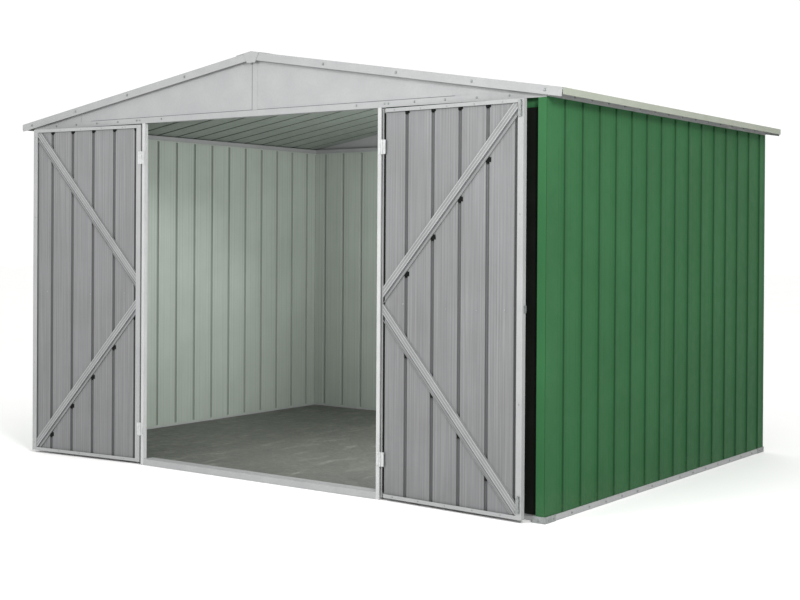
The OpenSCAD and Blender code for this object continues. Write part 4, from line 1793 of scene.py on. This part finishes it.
@dataclass
class BodyFixings:
    """Screws that hold the trims, rails, brackets and roof sheets.

    Attributes:
        barge_at: the barge screws' distances from the middle.
        barge_drop: their distance below the barge's top edge.
        header_at: the header screws' distances from the middle.
        rail_edge: distance of the rail screws from a rail's edge.
        side_screws: how many rail screws a side wall has at each level.
        rear_screws: how many the rear wall has.
        roof_rows: the roof screws' distances up the slope, from the eave.
        bracket_legs: the bracket screws' distances from the ends of the shed.
        bracket_in: distance of the bracket's front and rear screw from the side.
        bracket_up: height of the bracket screws.
    """

    barge_at: tuple[float, ...] = (0.43, 0.83, 1.215, 1.56)
    barge_drop: float = 0.019
    header_at: tuple[float, ...] = (0.605, 0.758, 0.779, 0.916, 1.072, 1.229, 1.385)
    rail_edge: float = 0.012
    side_screws: int = 15
    rear_screws: int = 20
    roof_rows: tuple[float, ...] = (0.105, 0.72, 1.40)
    bracket_legs: tuple[float, ...] = (0.022, 0.066)
    bracket_in: float = 0.030
    bracket_up: float = 0.0135

    def build(self, trees: Trees, finishes: Finishes, roof: RoofSet) -> None:
        """Builds every fixing on the shed's own body.

        Args:
            trees: the geometry trees.
            finishes: the finishes.
            roof: the roof that the screws go through.
        """
        screws = Fixings("trim_screws", SHED, FixingKind.HEX_SCREW, seed=11)
        small = Fixings("rail_screws", SHED, FixingKind.SMALL_SCREW, seed=12)
        self.barges(screws, roof.slope)
        self.header(small)
        self.rails(small)
        self.slopes(screws, roof)
        self.brackets(small)
        screws.build(trees, finishes.fitting)
        small.build(trees, finishes.fitting)

    def barges(self, screws: Fixings, slope: float) -> None:
        """Notes the screws along the barge trims, front and rear.

        Args:
            screws: where they are noted.
            slope: slope of the roof, in radians.
        """
        low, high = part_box("barge_front_right")
        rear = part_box("barges_rear")[1]
        for x in self.barge_at:
            for side in (1, -1):
                z = high.z - self.barge_drop - x * math.tan(slope)
                screws.add(Vector((side * x, low.y, z)), Vector((0, -1, 0)))
                screws.add(Vector((side * x, rear.y, z)), Vector((0, 1, 0)))

    def header(self, small: Fixings) -> None:
        """Notes the screws along the header rail."""
        low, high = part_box("header_rail")
        for x in self.header_at:
            for side in (1, -1):
                small.add(Vector((side * x, low.y, high.z - self.rail_edge)), Vector((0, -1, 0)))

    def rails(self, small: Fixings) -> None:
        """Notes the screws through the rails of the side and rear walls, one to a pan.

        Args:
            small: where they are noted.
        """
        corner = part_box("right_wall")[1]
        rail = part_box("top_rail_right")[1]
        first = FIRST_RIB - RIB_PITCH / 2 - corner.y
        for step in range(self.side_screws):
            for side in (1, -1):
                for z in (rail.z - self.rail_edge, self.rail_edge):
                    small.add(Vector((side * rail.x, first + step * RIB_PITCH, z)), Vector((side, 0, 0)))
        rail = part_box("top_rail_rear")[1]
        first = FIRST_RIB - RIB_PITCH / 2 - (corner.x - WallSet.rib_h)
        for step in range(self.rear_screws):
            for z in (rail.z - self.rail_edge, self.rail_edge):
                small.add(Vector((first + step * RIB_PITCH, rail.y, z)), Vector((0, 1, 0)))

    def slopes(self, screws: Fixings, roof: RoofSet) -> None:
        """Notes the screws through the roof's ribs, in rows over the walls and the ridge.

        Args:
            screws: where they are noted.
            roof: the roof.
        """
        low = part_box("roof_right")[0]
        sin, cos = math.sin(roof.slope), math.cos(roof.slope)
        crest_x, crest_z = roof.eave_x() + roof.depth() * sin, low.z + roof.depth() * cos
        for step in range(roof.ribs()):
            y = low.y + FIRST_RIB + step * RIB_PITCH
            for up in self.roof_rows:
                for side in (1, -1):
                    place = Vector((side * (crest_x - up * cos), y, crest_z + up * sin))
                    screws.add(place, Vector((side * sin, 0, cos)))

    def brackets(self, small: Fixings) -> None:
        """Notes the fixings on each leg of the corner brackets.

        Args:
            small: where they are noted.
        """
        low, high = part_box("corner_brackets")
        legs = [low.y + leg for leg in self.bracket_legs] + [high.y - leg for leg in self.bracket_legs]
        for side in (1, -1):
            for y in legs:
                small.add(Vector((side * high.x, y, self.bracket_up)), Vector((side, 0, 0)))
            across = side * (high.x - self.bracket_in)
            small.add(Vector((across, low.y, self.bracket_up)), Vector((0, -1, 0)))
            small.add(Vector((across, high.y, self.bracket_up)), Vector((0, 1, 0)))


# --- studio ------------------------------------------------------------------------------


class LampKind(Enum):
    """Forms of lamp in the studio."""

    DISK = "AREA"
    BALL = "POINT"


@dataclass(frozen=True)
class Lamp:
    """One soft lamp.

    Attributes:
        name: its name.
        kind: its form.
        place: where it hangs.
        power: its power in watts.
        size: a disk's width or a ball's radius, in metres.
        aim: the point that a disk faces.
    """

    name: str
    kind: LampKind
    place: Point
    power: float
    size: float
    aim: Point

    def hang(self) -> None:
        """Hangs the lamp, hidden from the camera."""
        light = bpy.data.lights.new(self.name, self.kind.value)
        light.energy = self.power
        if self.kind is LampKind.DISK:
            light.shape = "DISK"
            light.size = self.size
        else:
            light.shadow_soft_size = self.size
        hung = bpy.data.objects.new(self.name, light)
        hung.location = self.place
        hung.rotation_euler = (Vector(self.place) - Vector(self.aim)).to_track_quat("Z", "Y").to_euler()
        hung.visible_camera = False
        bpy.context.scene.collection.objects.link(hung)


@dataclass
class Studio:
    """Pale floor, an even white sky, a key light from the front right with three fills, and the camera.

    Attributes:
        floor_reach: half the width of the floor.
        floor_z: height of the floor, just under the shed.
        sky: strength of the even light.
        lamps: the lamps.
        eye: place of the camera.
        heading: its turn from straight ahead, in radians.
        dip: its tilt below the horizon.
        roll: its turn about its own axis.
        lens: its focal length in millimetres.
        sensor: width of its sensor in millimetres.
        shift: shift of its lens across and up.
        far: how far it sees, in metres.
    """

    floor_reach: float = 40.0
    floor_z: float = -0.001
    sky: float = 1.05
    lamps: tuple[Lamp, ...] = (
        Lamp("key_light", LampKind.DISK, (4.6, -4.2, 2.9), 236.0, 1.1, (1.2, -0.9, 1.0)),
        Lamp("front_fill", LampKind.DISK, (-1.2, -6.6, 3.0), 146.0, 1.8, (-1.2, -1.2, 0.9)),
        Lamp("inside_fill", LampKind.BALL, (0.50, 0.30, 1.00), 66.0, 0.5, (0.0, 0.0, 0.0)),
        Lamp("doorway_fill", LampKind.DISK, (0.35, -0.95, 1.15), 24.0, 0.9, (0.1, 1.15, 0.55)),
    )
    eye: Point = (4.2228, -5.8791, 1.1259)
    heading: float = math.radians(36.293)
    dip: float = math.radians(0.368)
    roll: float = math.radians(0.349)
    lens: float = 60.78
    sensor: float = 36.0
    shift: tuple[float, float] = (0.0170, -0.0640)
    far: float = 200.0

    def build(self, finishes: Finishes) -> None:
        """Builds the studio.

        Args:
            finishes: the finishes.
        """
        scene = bpy.context.scene
        mesh = bpy.data.meshes.new("studio_floor")
        corners = [(-1, -1), (1, -1), (1, 1), (-1, 1)]
        reach = self.floor_reach
        mesh.from_pydata([(x * reach, y * reach, self.floor_z) for x, y in corners], [], [(0, 1, 2, 3)])
        mesh.materials.append(finishes.paper)
        link_object("studio_floor", mesh)
        world = bpy.data.worlds.new("studio_world")
        world.use_nodes = True
        sky = world.node_tree.nodes["Background"]
        sky.inputs["Color"].default_value = linear("#FFFFFF")
        sky.inputs["Strength"].default_value = self.sky
        scene.world = world
        for lamp in self.lamps:
            lamp.hang()
        scene.camera = self.camera()
        scene.view_settings.view_transform = "Standard"

    def camera(self) -> bpy.types.Object:
        """Sets up the camera.

        Returns:
            The camera.
        """
        lens = bpy.data.cameras.new("camera")
        lens.lens = self.lens
        lens.sensor_width = self.sensor
        lens.shift_x, lens.shift_y = self.shift
        lens.clip_end = self.far
        camera = bpy.data.objects.new("camera", lens)
        bpy.context.scene.collection.objects.link(camera)
        level = math.cos(self.dip)
        look = Vector((-math.sin(self.heading) * level, math.cos(self.heading) * level, -math.sin(self.dip)))
        turn = look.to_track_quat("-Z", "Y").to_matrix().to_4x4()
        camera.matrix_world = Matrix.Translation(self.eye) @ turn @ Matrix.Rotation(self.roll, 4, "Z")
        return camera


@dataclass
class Shed:
    """The whole shed, built in order from its sub-assemblies."""

    walls: WallSet = field(default_factory=WallSet)
    frontage: Frontage = field(default_factory=Frontage)
    base: Base = field(default_factory=Base)
    roof: RoofSet = field(default_factory=RoofSet)
    ironmongery: Ironmongery = field(default_factory=Ironmongery)
    fixings: BodyFixings = field(default_factory=BodyFixings)

    def build(self) -> None:
        """Builds every sub-assembly and reports it."""
        finishes = Finishes()
        trees = Trees()
        Studio().build(finishes)
        self.base.build(finishes)
        self.walls.build(trees, finishes)
        self.frontage.build(finishes)
        self.roof.build(trees, finishes)
        right = Door(1, RIGHT_DOOR, "right_door_hinge", ribs_from=0.126)
        left = Door(-1, LEFT_DOOR, "left_door_hinge", ribs_from=0.040)
        for door in (right, left):
            rivets = Fixings(door.body + "_rivets", door.body, FixingKind.RIVET, seed=21)
            door.build(trees, finishes, rivets)
            rivets.build(trees, finishes.fitting)
        self.ironmongery.build(right, finishes)
        self.fixings.build(trees, finishes, self.roof)


def main() -> None:
    """Builds the shed."""
    logging.basicConfig(level=logging.INFO, format="%(name)s: %(message)s")
    Shed().build()


if __name__ == "__main__":
    main()
